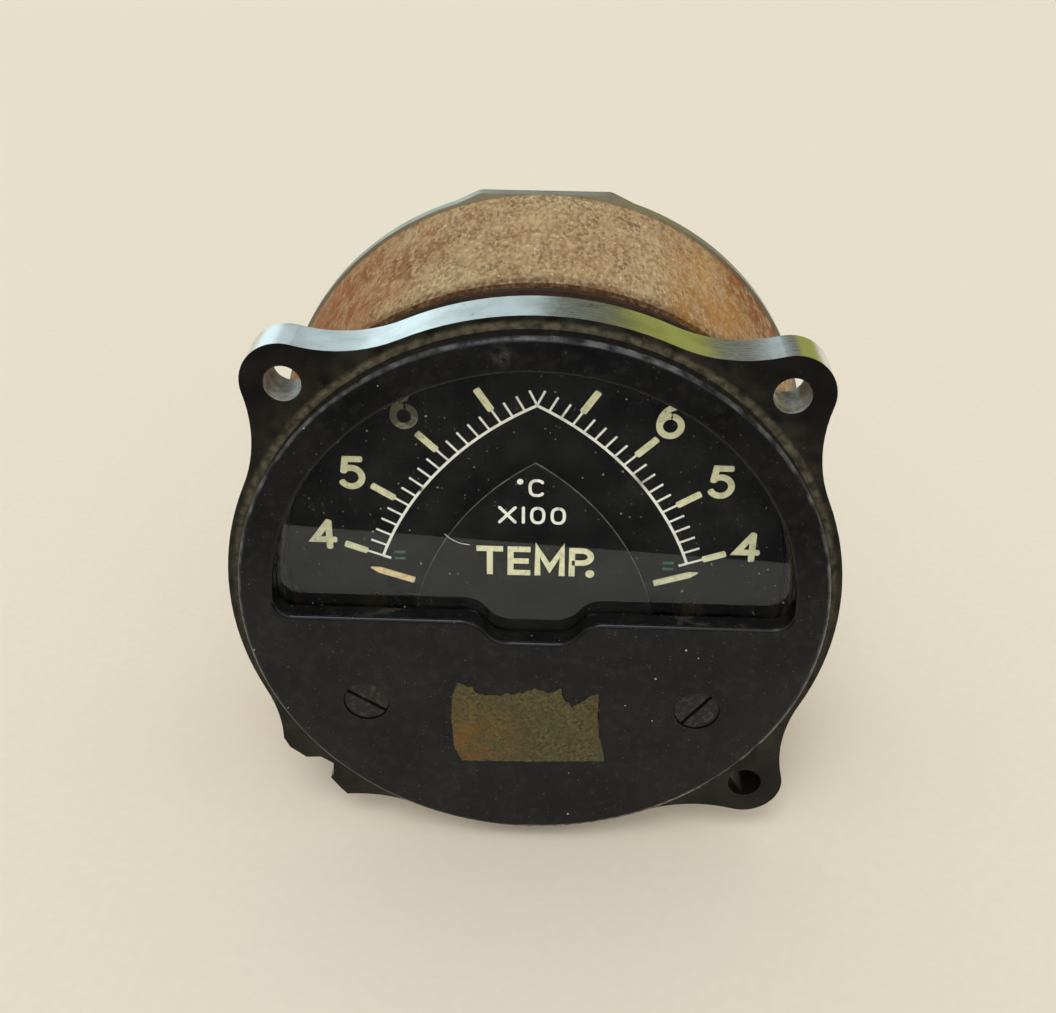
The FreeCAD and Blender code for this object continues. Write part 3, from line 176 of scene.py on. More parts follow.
class Skin:
    """A material in the making: patterns on the piece's own coordinates, laid over each other."""

    def __init__(self, name):
        self.material = bpy.data.materials.new(name)
        self.material.use_nodes = True
        self.tree = self.material.node_tree
        self.tree.nodes.clear()
        self.place = add(self.tree, "ShaderNodeTexCoord")
        self.here = self.place.outputs["Object"]

    def patches(self, size_mm, least=0.0, most=1.0, detail=4.0, stretch=(1, 1, 1), low=0.35, high=0.65):
        """Soft patches about size_mm across, from least to most."""
        spread = add(self.tree, "ShaderNodeMapping", {"Vector": self.here, "Scale": stretch})
        field = add(self.tree, "ShaderNodeTexNoise", {
            "Vector": spread, "Scale": 1 / (size_mm * MM), "Detail": detail})
        return add(self.tree, "ShaderNodeMapRange", {
            "Value": field, "From Min": low, "From Max": high, "To Min": least,
            "To Max": most})

    def grains(self, spacing_mm, share, size=0.3, most=1.0):
        """Scattered grains, most inside one and 0 outside; share of the cells hold one of up to size cells."""
        cells = add(self.tree, "ShaderNodeTexVoronoi", {"Vector": self.here, "Scale": 1 / (spacing_mm * MM)})
        chance = add(self.tree, "ShaderNodeSeparateColor", {"Color": cells.outputs["Color"]})
        reach = add(self.tree, "ShaderNodeMapRange", {
            "Value": chance, "From Min": 1 - share, "To Max": size})
        inside = add(self.tree, "ShaderNodeMath", {0: cells.outputs["Distance"], 1: reach},
                     operation="LESS_THAN")
        return add(self.tree, "ShaderNodeMath", {0: inside, 1: most}, operation="MULTIPLY")

    def facing(self, low, high, least=0.0, most=1.0):
        """How far the surface faces along the case axis: least below low, most above high."""
        parts = add(self.tree, "ShaderNodeSeparateXYZ", {0: self.place.outputs["Normal"]})
        size = add(self.tree, "ShaderNodeMath", {0: parts.outputs["Y"]}, operation="ABSOLUTE")
        return add(self.tree, "ShaderNodeMapRange", {
            "Value": size, "From Min": low, "From Max": high, "To Min": least,
            "To Max": most})

    def off_axis(self, inner_mm, outer_mm, least=0.0, most=1.0):
        """least inside inner_mm from the case axis and most outside outer_mm."""
        flat = add(self.tree, "ShaderNodeVectorMath", {0: self.here, 1: (1, 0, 1)}, operation="MULTIPLY")
        reach = add(self.tree, "ShaderNodeVectorMath", {0: flat}, operation="LENGTH")
        return add(self.tree, "ShaderNodeMapRange", {
            "Value": reach.outputs["Value"], "From Min": inner_mm * MM, "From Max": outer_mm * MM,
            "To Min": least, "To Max": most})

    def along(self, axis, start_mm, end_mm, least=0.0, most=1.0):
        """least before start_mm along one axis and most past end_mm."""
        parts = add(self.tree, "ShaderNodeSeparateXYZ", {0: self.here})
        return add(self.tree, "ShaderNodeMapRange", {
            "Value": parts.outputs[axis], "From Min": start_mm * MM, "From Max": end_mm * MM,
            "To Min": least, "To Max": most})

    def near(self, spot_mm, radius_mm, most=1.0):
        """A soft spot: most at spot_mm, fading to 0 at radius_mm."""
        off = add(self.tree, "ShaderNodeVectorMath", {0: self.here, 1: [value * MM for value in spot_mm]},
                  operation="DISTANCE")
        return add(self.tree, "ShaderNodeMapRange", {
            "Value": off.outputs["Value"], "From Max": radius_mm * MM, "To Min": most, "To Max": 0.0})

    def layers(self, ground, *laid):
        """A colour under further ones: each (tone, share, ...) shows where all its shares do."""
        tones = [linear(tone) if isinstance(tone, str) else tone for tone in [ground] + [row[0] for row in laid]]
        ground = tones[0]
        for tone, (_, share, *others) in zip(tones[1:], laid):
            for other in others:
                share = add(self.tree, "ShaderNodeMath", {0: share, 1: other}, operation="MULTIPLY",
                            use_clamp=True)
            ground = add(self.tree, "ShaderNodeMix", {0: share, 6: ground, 7: tone}, data_type="RGBA").outputs[2]
        return ground

    def done(self, tone, height=None, depth_mm=0.0, **sockets):
        """The finished material, with relief of depth_mm from a height of 0 to 1."""
        sockets = {name.replace("_", " "): value for name, value in sockets.items()}
        sockets["Base Color"] = tone
        if height:
            sockets["Normal"] = add(self.tree, "ShaderNodeBump", {
                "Height": height, "Distance": depth_mm * MM, "Strength": 1.0})
        shader = add(self.tree, "ShaderNodeBsdfPrincipled", sockets)
        add(self.tree, "ShaderNodeOutputMaterial", {"Surface": shader})
        return self.material


# Finishes

def stoved_enamel():
    """Black stoving enamel, sprayed and baked: glossy under thin dust, with a grey line round its outer edge,
    partly rubbed metal and partly a painted highlight.
    """
    tones = colours()
    skin = Skin("stoved_black_enamel")
    tone = skin.layers(
        tones.enamel,
        (tones.dust, skin.patches(9.0, 0.0, 0.03, 6.0)),
        (tones.dust, skin.grains(0.7, 0.3, 0.2, 0.26)),
        ("#A7A79B", skin.grains(1.9, 0.22, 0.09, 0.75)),
        (tones.dust, skin.grains(0.45, 0.25, 0.3, 0.12)),
        (tones.dust, skin.patches(1.5, 0.0, 0.05, 7.0, low=0.5, high=0.75)),
        (tones.dust, skin.near((-4.3, -2.5, 37.1), 1.9), skin.patches(0.7, 0.0, 0.3)),
        # A grey-brown line along the upper rounded edge of the window: dirt, and a painted highlight of that
        # edge; the lower lip has none
        (tones.silt, skin.facing(0.97, 0.3), skin.off_axis(37.0, 37.6, 1.0, 0.0), skin.along("Y", -1.6, -2.3),
         skin.along("Z", 4.0, 12.0), skin.patches(3.0, 0.05, 0.32, 6.0)),
        # Painted highlight and wear: the grey line on the outer rounded edge stands for both
        (tones.edge_wear_and_highlight, skin.facing(0.1, 0.5), skin.facing(0.86, 0.985, 1.0, 0.0),
         skin.off_axis(37.0, 38.5), skin.patches(2.5, 0.0, 0.34, 6.0, low=0.42)))
    # Fingers have wiped the lower half, most of all its rounded edges
    wiped = add(skin.tree, "ShaderNodeMath", {0: skin.patches(6.0, 0.27, 0.38, 6.0),
                                              1: skin.along("Z", 6.0, 3.0, 1.0, 0.7)}, operation="MULTIPLY")
    edges = add(skin.tree, "ShaderNodeMath", {0: skin.along("Z", 6.0, 3.0), 1: skin.facing(0.98, 0.9, 0.0, -0.6),
                                              2: 1.0}, operation="MULTIPLY_ADD")
    rough = add(skin.tree, "ShaderNodeMath", {0: wiped, 1: edges}, operation="MULTIPLY")
    return skin.done(tone, skin.patches(1.6), 0.004, Roughness=rough, Specular_IOR_Level=0.27,
                     Specular_Tint=(0.8, 0.86, 1.0, 1.0))


def flange_finish():
    """Machined aluminium with black enamel on its face: a bright turned edge, brown dirt beside the cover."""
    tones = colours()
    skin = Skin("machined_aluminium_black_face")
    black = skin.layers(
        "#060606",
        (tones.dust, skin.patches(7.0, 0.0, 0.05, 6.0)),
        (tones.dust, skin.grains(0.8, 0.2, 0.2, 0.2)),
        (tones.silt, skin.off_axis(40.0, 45.0, 1.0, 0.0), skin.patches(2.5, 0.0, 0.2, 7.0)),
        # The brown band beside the cover is drawn stronger towards the top
        (tones.silt, skin.off_axis(40.15, 40.75, 1.0, 0.0), skin.along("Z", -12.0, 24.0, 0.2, 1.0),
         skin.patches(1.3, 0.12, 1.0, 7.0, low=0.38, high=0.62)))
    # Dirt lies in the four mounting holes, and painted shade darkens the lower ones
    folded = add(skin.tree, "ShaderNodeVectorMath", {0: skin.here}, operation="ABSOLUTE")
    flat = add(skin.tree, "ShaderNodeVectorMath", {0: folded, 1: (1, 0, 1)}, operation="MULTIPLY")
    hole = add(skin.tree, "ShaderNodeVectorMath", {0: flat, 1: (LUG_HOLE, 0, LUG_HOLE)},
               operation="DISTANCE")
    in_hole, clear = (add(skin.tree, "ShaderNodeMapRange", {
        "Value": hole.outputs["Value"], "From Min": start * MM, "From Max": end * MM})
        for start, end in ((2.7, 2.5), (2.5, 2.7)))
    bare = skin.layers(
        tones.aluminium,
        (tones.silt, skin.patches(4.5, 0.0, 0.3, 6.0, low=0.45, high=0.75)),
        (tones.silt, skin.grains(1.3, 0.14, 0.25, 0.5)),
        ("#6A6454", in_hole, skin.patches(1.5, 0.6, 1.0)),
        # Painted shade: the lower holes are painted near black
        ("#15120E", in_hole, skin.along("Z", 10.0, -10.0)))
    metal = add(skin.tree, "ShaderNodeMath", {0: skin.facing(0.6, 0.8, 1.0, 0.0), 1: clear},
                operation="MULTIPLY")
    # Turning marks run round the edge, drawn 3 mm long to show
    turning = skin.patches(3.0, stretch=(1, 18, 1), low=0.3, high=0.7)
    rough = add(skin.tree, "ShaderNodeMath", {0: turning, 1: 0.12, 2: skin.facing(0.6, 0.8, 0.13, 0.3)},
                operation="MULTIPLY_ADD")
    return skin.done(skin.layers(bare, (black, skin.facing(0.6, 0.8))), turning, 0.006,
                     Metallic=metal, Roughness=rough, Specular_IOR_Level=0.2)


def rusted_shield():
    """Cast iron ring with the skin of its sand mould: dull plating under fine rust, browner and darker at its
    sides from rust and painted shade.
    """
    tones = colours()
    skin = Skin("rusted_cast_iron")
    # The skin is drawn out along the axis, as the pattern was drawn from the mould: y counts 0.45 here
    skin.here = add(skin.tree, "ShaderNodeMapping", {"Vector": skin.here, "Scale": (1, 0.45, 1)})
    parts = add(skin.tree, "ShaderNodeSeparateXYZ", {0: skin.here})
    # Rust and painted shade: the sides are made browner and darker than the top
    across = add(skin.tree, "ShaderNodeMath", {0: parts.outputs["X"]}, operation="ABSOLUTE")
    side = add(skin.tree, "ShaderNodeMapRange", {"Value": across, "From Min": 8 * MM,
                                                 "From Max": 34 * MM, "To Min": 0.3, "To Max": 0.85})
    grit = skin.patches(0.55, detail=8.0, low=0.38, high=0.62)
    tone = skin.layers(
        tones.plating,
        (tones.rust, side, skin.patches(9.0, 0.35, 1.3, 5.0),
         skin.patches(1.3, 0.5, 1.2, 7.0, low=0.4, high=0.6)),
        ("#5D3F22", grit, skin.patches(4.0, 0.3, 0.75)),
        (tones.rust_dark, skin.grains(0.6, 0.5, 0.42, 0.45)),
        ("#E2D3A4", skin.grains(0.5, 0.3, 0.36, 0.5)),
        # The front end is the darkest
        (tones.rust_dark, skin.facing(0.6, 0.85), skin.along("Y", 7.2, 6.7), skin.patches(0.8, 0.3, 0.95, 6.0)),
        ("#5A3A20", skin.along("Y", 7.5, 6.8), skin.patches(0.6, 0.2, 0.9, 6.0)),
        # Fresh orange rust, high on the right and low on the left
        ("#C08A34", skin.near((24.0, 12.0, 33.0), 11.0), skin.patches(4.0, 0.0, 0.75)),
        ("#94561F", skin.near((-36.0, 10.0, 18.0), 26.0, 1.4), skin.patches(3.0, 0.2, 0.9)))
    return skin.done(tone, grit, 0.12, Roughness=0.8, Specular_IOR_Level=0.25)


def turned_aluminium():
    """Aluminium, turned on a lathe and handled: satin metal with fine rings and a few dull spots."""
    tones = colours()
    skin = Skin("turned_aluminium")
    flat = add(skin.tree, "ShaderNodeVectorMath", {0: skin.here, 1: (1, 0, 1)}, operation="MULTIPLY")
    reach = add(skin.tree, "ShaderNodeVectorMath", {0: flat}, operation="LENGTH")
    # Rings 0.3 mm apart, as the tool left them
    phase = add(skin.tree, "ShaderNodeMath", {0: reach.outputs["Value"], 1: 2 * math.pi / (0.3 * MM)},
                operation="MULTIPLY")
    rings = add(skin.tree, "ShaderNodeMath", {0: phase}, operation="SINE")
    tone = skin.layers(
        tones.dull_plate,
        (tones.silt, skin.patches(5.0, 0.0, 0.35, 6.0, low=0.4, high=0.7)),
        (tones.silt, skin.grains(1.6, 0.2, 0.25, 0.4)))
    return skin.done(tone, rings, 0.0015, Metallic=1.0, Roughness=skin.patches(5.0, 0.34, 0.5, 6.0))


def wrinkle_enamel():
    """Black wrinkle enamel, stoved: matt ridges half a millimetre apart, rust dust beside the shield."""
    tones = colours()
    skin = Skin("black_wrinkle_enamel")
    tone = skin.layers(
        tones.enamel,
        (tones.silt, skin.patches(8.0, 0.0, 0.2)),
        ("#4F3220", skin.along("Y", 16.0, 12.0), skin.patches(1.0, 0.25, 0.9, 6.0)))
    return skin.done(tone, skin.patches(0.5), 0.04, Roughness=0.62)


def moulded_phenolic():
    """Black-brown phenolic, compression moulded: faint mottle and a soft gloss."""
    skin = Skin("moulded_phenolic")
    return skin.done(skin.layers("#17120F", ("#2A1E17", skin.patches(1.6))), skin.patches(0.3, detail=2.0), 0.006,
                     Roughness=skin.patches(4.0, 0.3, 0.5))


def matt_dial():
    """Matt black on sheet aluminium: no gloss, light dust, worn bare along the cut edge."""
    tones = colours()
    skin = Skin("matt_black_dial")
    black = skin.layers(
        tones.dial,
        (tones.dust, skin.patches(6.0, 0.0, 0.06)),
        (tones.dust, skin.grains(1.3, 0.3, 0.12, 0.6)))
    bare = skin.layers("#A3A498", ("#4A4A44", skin.patches(1.6, 0.0, 0.8, 6.0)))
    return skin.done(skin.layers(bare, (black, skin.facing(0.4, 0.7))), Roughness=0.75, Specular_IOR_Level=0.06)


def printed_ink():
    """White ink, printed thin: greyed where it has worn through."""
    tones = colours()
    skin = Skin("printed_white_ink")
    tone = skin.layers(
        tones.print,
        (tones.dust, skin.patches(1.4, 0.0, 0.35, 6.0, low=0.5, high=0.75)),
        (tones.dial, skin.near((-15.5, 6.0, 13.4), 0.55, 1.2)),
        (tones.dust, skin.near((13.9, 6.0, 15.4), 2.2, 0.75)))
    return skin.done(tone, Roughness=0.6)


def aged_paint(name, tone):
    """Paint brushed on thick and aged: matt, with grey-brown stains in its grain."""
    skin = Skin(name)
    tone = skin.layers(
        getattr(colours(), tone),
        ("#8F8A63", skin.patches(0.8, 0.0, 0.5, 7.0, low=0.46, high=0.74)),
        ("#57523A", skin.grains(0.55, 0.2, 0.25, 0.5)),
        # The left 6 is darkened: painted shade of the window's rim, and dirt
        ("#4E4C3A", skin.near((-18.0, 6.0, 26.0), 6.5, 2.2), skin.patches(0.7, 0.6, 1.0)))
    return skin.done(tone, skin.patches(0.35), 0.02, Roughness=0.75)


# Luminous paint of numerals, blocks, legend and right tip, aged to cream
luminous_cream = partial(aged_paint, "aged_luminous_cream", "cream")
# The same paint on the left pointer's tip, aged to peach
luminous_peach = partial(aged_paint, "aged_luminous_peach", "peach")
# Dark green paint of the index marks
green_paint = partial(aged_paint, "dark_green_paint", "mark_green")


def pane_glass():
    """Window glass, ground flat: clear, with the weak mirror image of its front face, dust and a haze."""
    skin = Skin("dusty_window_glass")
    clear = add(skin.tree, "ShaderNodeBsdfTransparent", {"Color": (0.98, 0.99, 0.98, 1)})
    gloss = add(skin.tree, "ShaderNodeBsdfGlossy", {"Color": (0.82, 0.90, 1.0, 1), "Roughness": 0.015})
    grit = add(skin.tree, "ShaderNodeBsdfDiffuse", {"Color": linear("#C2BEAA")})
    front = skin.along("Y", 1.1, 0.8)
    # Reflection of glass against air: a twentieth head on, all of it along the pane
    lean = add(skin.tree, "ShaderNodeLayerWeight", {"Blend": 0.5}).outputs["Facing"]
    steep = add(skin.tree, "ShaderNodeMath", {0: lean, 1: 5.0}, operation="POWER")
    mirror = add(skin.tree, "ShaderNodeMath", {0: steep, 1: 0.948, 2: 0.052},
                 operation="MULTIPLY_ADD")
    shine = add(skin.tree, "ShaderNodeMath", {0: mirror, 1: front}, operation="MULTIPLY")
    pane = add(skin.tree, "ShaderNodeMixShader", {0: shine, 1: clear, 2: gloss})
    specks = add(skin.tree, "ShaderNodeMath", {0: skin.grains(1.25, 0.4, 0.15, 0.32),
                                               1: skin.grains(0.6, 0.4, 0.2, 0.16)}, operation="MAXIMUM")
    haze = skin.patches(6.0, 0.0, 0.010, 6.0, low=0.4, high=0.8)
    lying = add(skin.tree, "ShaderNodeMath", {0: specks, 1: haze}, operation="MAXIMUM")
    dust = add(skin.tree, "ShaderNodeMath", {0: lying, 1: front}, operation="MULTIPLY")
    dusty = add(skin.tree, "ShaderNodeMixShader", {0: dust, 1: pane, 2: grit})
    add(skin.tree, "ShaderNodeOutputMaterial", {"Surface": dusty})
    return skin.material


def gasket_rubber():
    """Black rubber, die-cut: matt, faintly bloomed."""
    skin = Skin("black_rubber")
    return skin.done(skin.layers("#0E0E0D", ("#1C1B18", skin.patches(3.0))), Roughness=0.8)


def worked_metal(name, tone, smooth, rough, stain, share, line=(1, 1, 1), grain_mm=2.0, depth_mm=0.004):
    """Bare metal: its shine is broken by the grain of its working, drawn out by line, and by dull stains."""
    skin = Skin(name)
    tone = skin.layers(getattr(colours(), tone), (stain, skin.patches(1.8, 0.0, share, 6.0, low=0.42, high=0.7)))
    return skin.done(tone, skin.patches(grain_mm, stretch=line), depth_mm, Metallic=1.0,
                     Roughness=skin.patches(grain_mm, smooth, rough, 4.0, line, 0.3, 0.7))


# Free-cutting brass, turned: rings of the tool under the brown of age
turned_brass = partial(worked_metal, "turned_brass", "brass", 0.24, 0.42, "#4F3B20", 0.6, (1, 12, 1))
# Sheet brass, stamped and left bare: a brighter yellow with the sheet's grain
stamped_brass = partial(worked_metal, "stamped_brass", "brass", 0.28, 0.45, "#5A4526", 0.4, (8, 1, 1))
# Zinc-plated steel, turned: grey with a dull bloom
plated_steel = partial(worked_metal, "zinc_plated_steel", "steel", 0.3, 0.48, "#5C574C", 0.5, (1, 12, 1))
# Hardened steel, polished: near mirror, hardly stained
polished_steel = partial(worked_metal, "polished_steel", "polished", 0.12, 0.25, "#6C6A66", 0.2)
# Spring steel, rolled to strip and wire: satin grey, lines along the strip
rolled_spring_steel = partial(worked_metal, "rolled_spring_steel", "spring", 0.3, 0.42, "#4A4741", 0.4, (1, 8, 1))
# Phosphor bronze, rolled thin: a warm smooth shine
rolled_bronze = partial(worked_metal, "rolled_phosphor_bronze", "bronze", 0.2, 0.35, "#6E4A2C", 0.3)
# Cobalt magnet steel, cast and ground: dark grey with a coarse grain
ground_magnet_steel = partial(worked_metal, "ground_magnet_steel", "magnet", 0.4, 0.62, "#3A3A3B", 0.6,
                              (1, 1, 10), 1.5, 0.02)
# Soft iron, turned and nickel flashed: soft grey with faint rings
nickelled_iron = partial(worked_metal, "nickel_flashed_iron", "iron", 0.3, 0.5, "#5F5C52", 0.4, (1, 10, 1))


def blackened_steel():
    """Blackened steel screws under old enamel, dirt on their heads."""
    tones = colours()
    skin = Skin("blackened_steel_screw")
    tone = skin.layers(
        "#151514",
        (tones.dust, skin.patches(0.8, 0.0, 0.22, 6.0, low=0.5, high=0.72)),
        (tones.dust, skin.grains(0.6, 0.15, 0.2, 0.3)))
    return skin.done(tone, skin.patches(0.6), 0.02, Roughness=0.45, Specular_IOR_Level=0.3)


def matt_black_hand():
    """Matt black, sprayed on the thin aluminium hands: flat, a little greyer where it is thin."""
    skin = Skin("matt_black_hand")
    return skin.done(skin.layers("#131312", ("#1F1F1D", skin.patches(2.0))), Roughness=0.7)


def wound_wire():
    """Enamelled copper wire wound side by side: ribs under a brown varnish, drawn 0.24 mm apart to show."""
    skin = Skin("enamelled_copper_wire")
    parts = add(skin.tree, "ShaderNodeSeparateXYZ", {0: skin.here})
    phase = add(skin.tree, "ShaderNodeMath", {0: parts.outputs["Z"], 1: 2 * math.pi / (0.24 * MM)},
                operation="MULTIPLY")
    wave = add(skin.tree, "ShaderNodeMath", {0: phase}, operation="SINE")
    turns = add(skin.tree, "ShaderNodeMapRange", {"Value": wave, "From Min": -1.0})
    return skin.done(skin.layers("#4A2412", (colours().copper, turns)), turns, 0.05, Roughness=0.3, Metallic=0.6,
                     Coat_Weight=0.5, Coat_Roughness=0.15)


def torn_label_paper():
    """Old label: paper torn off, brown glue and dirt left, matt and grainy."""
    skin = Skin("torn_paper_and_glue")
    lumps = skin.patches(0.45, detail=7.0, low=0.36, high=0.64)
    tone = skin.layers(
        "#3A3625",
        (colours().label, lumps),
        ("#46442F", skin.patches(3.0, 0.0, 0.6, 5.0, low=0.4, high=0.6)),
        ("#6B4A22", skin.near((-9.0, -2.5, -23.0), 9.0), skin.patches(2.0, 0.1, 0.8)),
        ("#26221A", skin.grains(0.35, 0.4, 0.4, 0.5)),
        ("#857D58", skin.grains(0.4, 0.25, 0.3, 0.3)))
    return skin.done(tone, lumps, 0.08, Roughness=0.9, Specular_IOR_Level=0.15)


def both(name):
    """The left and the right scale's node of one name."""
    return ["left_scale_" + name, "right_scale_" + name]


FINISH_OF = {
    stoved_enamel: ["front_cover"],
    flange_finish: ["mounting_flange"],
    rusted_shield: ["shield_ring"],
    turned_aluminium: ["rear_plate"],
    wrinkle_enamel: ["case_body"],
    moulded_phenolic: ["terminal_block"],
    # Painted shade: the chassis plate is painted matt black so that the space behind the dial shows dark
    matt_dial: ["main_dial", "centre_plate", "chassis_plate"],
    pane_glass: ["window_glass"],
    gasket_rubber: ["glass_gasket"],
    rolled_spring_steel: ["glass_retaining_ring"] + both("zero_screw_clip"),
    plated_steel: ["flange_screws", "rear_plate_screws", "chassis_screws", "centre_plate_screws", "bridge_screws",
                   "terminal_washers"],
    turned_brass: ["terminal_studs", "terminal_nuts", "dial_posts", "centre_plate_posts", "bridge_posts",
                   "pole_posts", "core_brackets", "jewel_screws", "chassis_pillars"],
    stamped_brass: ["dial_screws"] + both("front_bridge") + both("rear_bridge") + both("zero_lever"),
    ground_magnet_steel: both("magnet"),
    nickelled_iron: both("pole_pieces") + both("core"),
    matt_black_hand: both("pointer"),
    wound_wire: both("coil"),
    polished_steel: both("staffs") + both("balance_arms") + both("balance_weights"),
    rolled_bronze: both("front_hairspring") + both("rear_hairspring"),
    blackened_steel: both("zero_screw"),
}
MADE = {}


def finish(maker):
    """The material of one finish, made the first time it is asked for."""
    if maker not in MADE:
        MADE[maker] = maker()
    return MADE[maker]


# Mesh building

def meshed(name, shape):
    """The mesh that a bmesh holds, its faces turned outwards."""
    bmesh.ops.recalc_face_normals(shape, faces=shape.faces)
    mesh = bpy.data.meshes.new(name)
    shape.to_mesh(mesh)
    shape.free()
    return mesh


def settle(name, made, maker, body):
    """A finished piece from a mesh or a bmesh: linked, in its finish and riding on its body."""
    mesh = meshed(name, made) if isinstance(made, bmesh.types.BMesh) else made
    piece = bpy.data.objects.new(name, mesh)
    bpy.context.collection.objects.link(piece)
    mesh.materials.clear()
    mesh.materials.append(finish(maker))
    mesh.polygons.foreach_set("use_smooth", [True] * len(mesh.polygons))
    mesh.set_sharp_from_angle(angle=math.radians(35.0))
    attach(piece, body)


def slab(shape, outline, front, thickness):
    """A flat plate facing -Y with an outline of (x, z) points."""
    near_side = [shape.verts.new((x, front, z)) for x, z in outline]
    far_side = [shape.verts.new((x, front + thickness, z)) for x, z in outline]
    faces = [shape.faces.new(near_side), shape.faces.new(far_side[::-1])]
    for number in range(len(outline)):
        after = (number + 1) % len(outline)
        shape.faces.new((near_side[number], far_side[number], far_side[after], near_side[after]))
    bmesh.ops.triangulate(shape, faces=faces)


def rounded_end(spot, out, half, reach):
    """Pairs of points that round off a stroke's end over a length of reach."""
    side = Vector((-out.y, out.x))
    pairs = []
    for turn in (0.5, 1.0, 1.35):
        middle = spot + out * reach * math.sin(turn)
        pairs.append((middle + side * half * math.cos(turn), middle - side * half * math.cos(turn)))
    return pairs


def ribbon(shape, points, width, front, thickness, end_reach=0.0):
    """A flat stroke along (x, z) points with mitred corners, closed if it ends where it starts."""
    spots = [Vector(point) for point in points]
    closed = (spots[0] - spots[-1]).length < 1e-7
    if closed:
        spots.pop()
    pairs = []
    for number, spot in enumerate(spots):
        steps = []
        if number or closed:
            steps.append((spot - spots[number - 1]).normalized())
        if number < len(spots) - 1 or closed:
            steps.append((spots[(number + 1) % len(spots)] - spot).normalized())
        heading = sum(steps, Vector((0, 0))).normalized()
        # A sharp corner's mitre is cut short
        offset = Vector((-heading.y, heading.x)) * width / 2 / max(0.35, heading.dot(steps[0]))
        pairs.append((spot + offset, spot - offset))
    if end_reach:
        first = rounded_end(spots[0], (spots[0] - spots[1]).normalized(), width / 2, end_reach)
        last = rounded_end(spots[-1], (spots[-1] - spots[-2]).normalized(), width / 2, end_reach)
        pairs = [(right, left) for left, right in first[::-1]] + pairs + last
    rings = [[shape.verts.new((spot.x, level, spot.y)) for spot in pair for level in (front, front + thickness)]
             for pair in pairs]
    if closed:
        rings.append(rings[0])
    for ring, after in zip(rings, rings[1:]):
        for a, b in ((0, 2), (2, 3), (3, 1), (1, 0)):
            shape.faces.new((ring[a], ring[b], after[b], after[a]))
    if not closed:
        for ring in (rings[0], rings[-1]):
            shape.faces.new((ring[0], ring[1], ring[3], ring[2]))


def bow(middle, reach, start, end, steps=14, square=2.0):
    """Points along part of an oval, from start to end in degrees; square above 2 fills its corners."""
    points = []
    for number in range(steps + 1):
        turn = math.radians(start + (end - start) * number / steps)
        across = math.copysign(abs(math.cos(turn)) ** (2 / square), math.cos(turn))
        up = math.copysign(abs(math.sin(turn)) ** (2 / square), math.sin(turn))
        points.append((middle[0] + reach[0] * across, middle[1] + reach[1] * up))
    return points


# Strokes of each sign, in heights of the sign: (width, [strokes])
SIGNS = {
    "4": (0.66, [[(0.50, 1.0), (0.0, 0.30), (0.70, 0.30)], [(0.50, 1.0), (0.50, 0.0)]]),
    "5": (0.66, [[(0.64, 1.0), (0.14, 1.0), (0.07, 0.54)],
                 [(0.07, 0.54)] + bow((0.31, 0.34), (0.35, 0.34), 128, -150, 22)]),
    "6": (0.68, [bow((0.34, 0.34), (0.34, 0.34), 90, 450, 28),
                 bow((0.58, 0.36), (0.58, 0.66), 178, 104, 10)]),
    "C": (0.80, [bow((0.40, 0.5), (0.40, 0.5), 42, 318, 26, 2.7)]),
    "0": (0.72, [bow((0.36, 0.5), (0.36, 0.5), 90, 450, 32, 2.5)]),
    "1": (0.0, [[(0.0, 0.0), (0.0, 1.0)]]),
    "X": (0.92, [[(0.0, 0.0), (0.92, 1.0)], [(0.0, 1.0), (0.92, 0.0)]]),
    "T": (0.78, [[(-0.09, 1.0), (0.87, 1.0)], [(0.39, 1.0), (0.39, -0.1)]]),
    "E": (0.62, [[(0.72, 1.0), (0.0, 1.0), (0.0, 0.0), (0.72, 0.0)], [(0.0, 0.5), (0.66, 0.5)]]),
    "M": (0.88, [[(0.0, -0.1), (0.0, 1.0), (0.44, 0.22), (0.88, 1.0), (0.88, -0.1)]]),
    "P": (0.66, [[(0.0, -0.1), (0.0, 1.0), (0.36, 1.0)] + bow((0.36, 0.74), (0.32, 0.26), 80, -80, 12)
                 + [(0.36, 0.48), (0.0, 0.48)]]),
}


def write(shape, text, middle, height, stroke, front, thickness, gap, end_reach):
    """Signs in a row, centred on middle; height runs to the middle of the strokes."""
    wide = sum(SIGNS[sign][0] for sign in text) * height + gap * (len(text) - 1)
    start = middle[0] - wide / 2
    for sign in text:
        width, strokes = SIGNS[sign]
        for layer, points in enumerate(strokes):
            # Each stroke lies a hair behind the one before, so that no two faces share a plane
            ribbon(shape, [(start + x * height, middle[1] + (z - 0.5) * height) for x, z in points], stroke,
                   front + layer * 0.002 * MM, thickness, end_reach)
        start += width * height + gap


def spot_on(middle, radius, corners=24):
    """The outline of a round spot."""
    return [(middle[0] + radius * math.cos(2 * math.pi * step / corners),
             middle[1] + radius * math.sin(2 * math.pi * step / corners)) for step in range(corners)]


def template(name, shape):
    """An unlinked object that a tree copies."""
    return bpy.data.objects.new(name, meshed(name, shape))


def pattern(name, inputs):
    """A new Geometry Nodes tree with named inputs, each a socket type."""
    tree = bpy.data.node_groups.new(name, "GeometryNodeTree")
    tree.interface.new_socket("Geometry", in_out="OUTPUT", socket_type="NodeSocketGeometry")
    for label, kind in inputs.items():
        tree.interface.new_socket(label, in_out="INPUT", socket_type=kind)
    return tree, add(tree, "NodeGroupInput").outputs


def end_pattern(tree, wanted, instances):
    """End a tree in Realize Instances and Set Material."""
    real = add(tree, "GeometryNodeRealizeInstances", {0: instances})
    dressed = add(tree, "GeometryNodeSetMaterial", {0: real, "Material": wanted["Material"]})
    add(tree, "NodeGroupOutput", {0: dressed})
    return tree


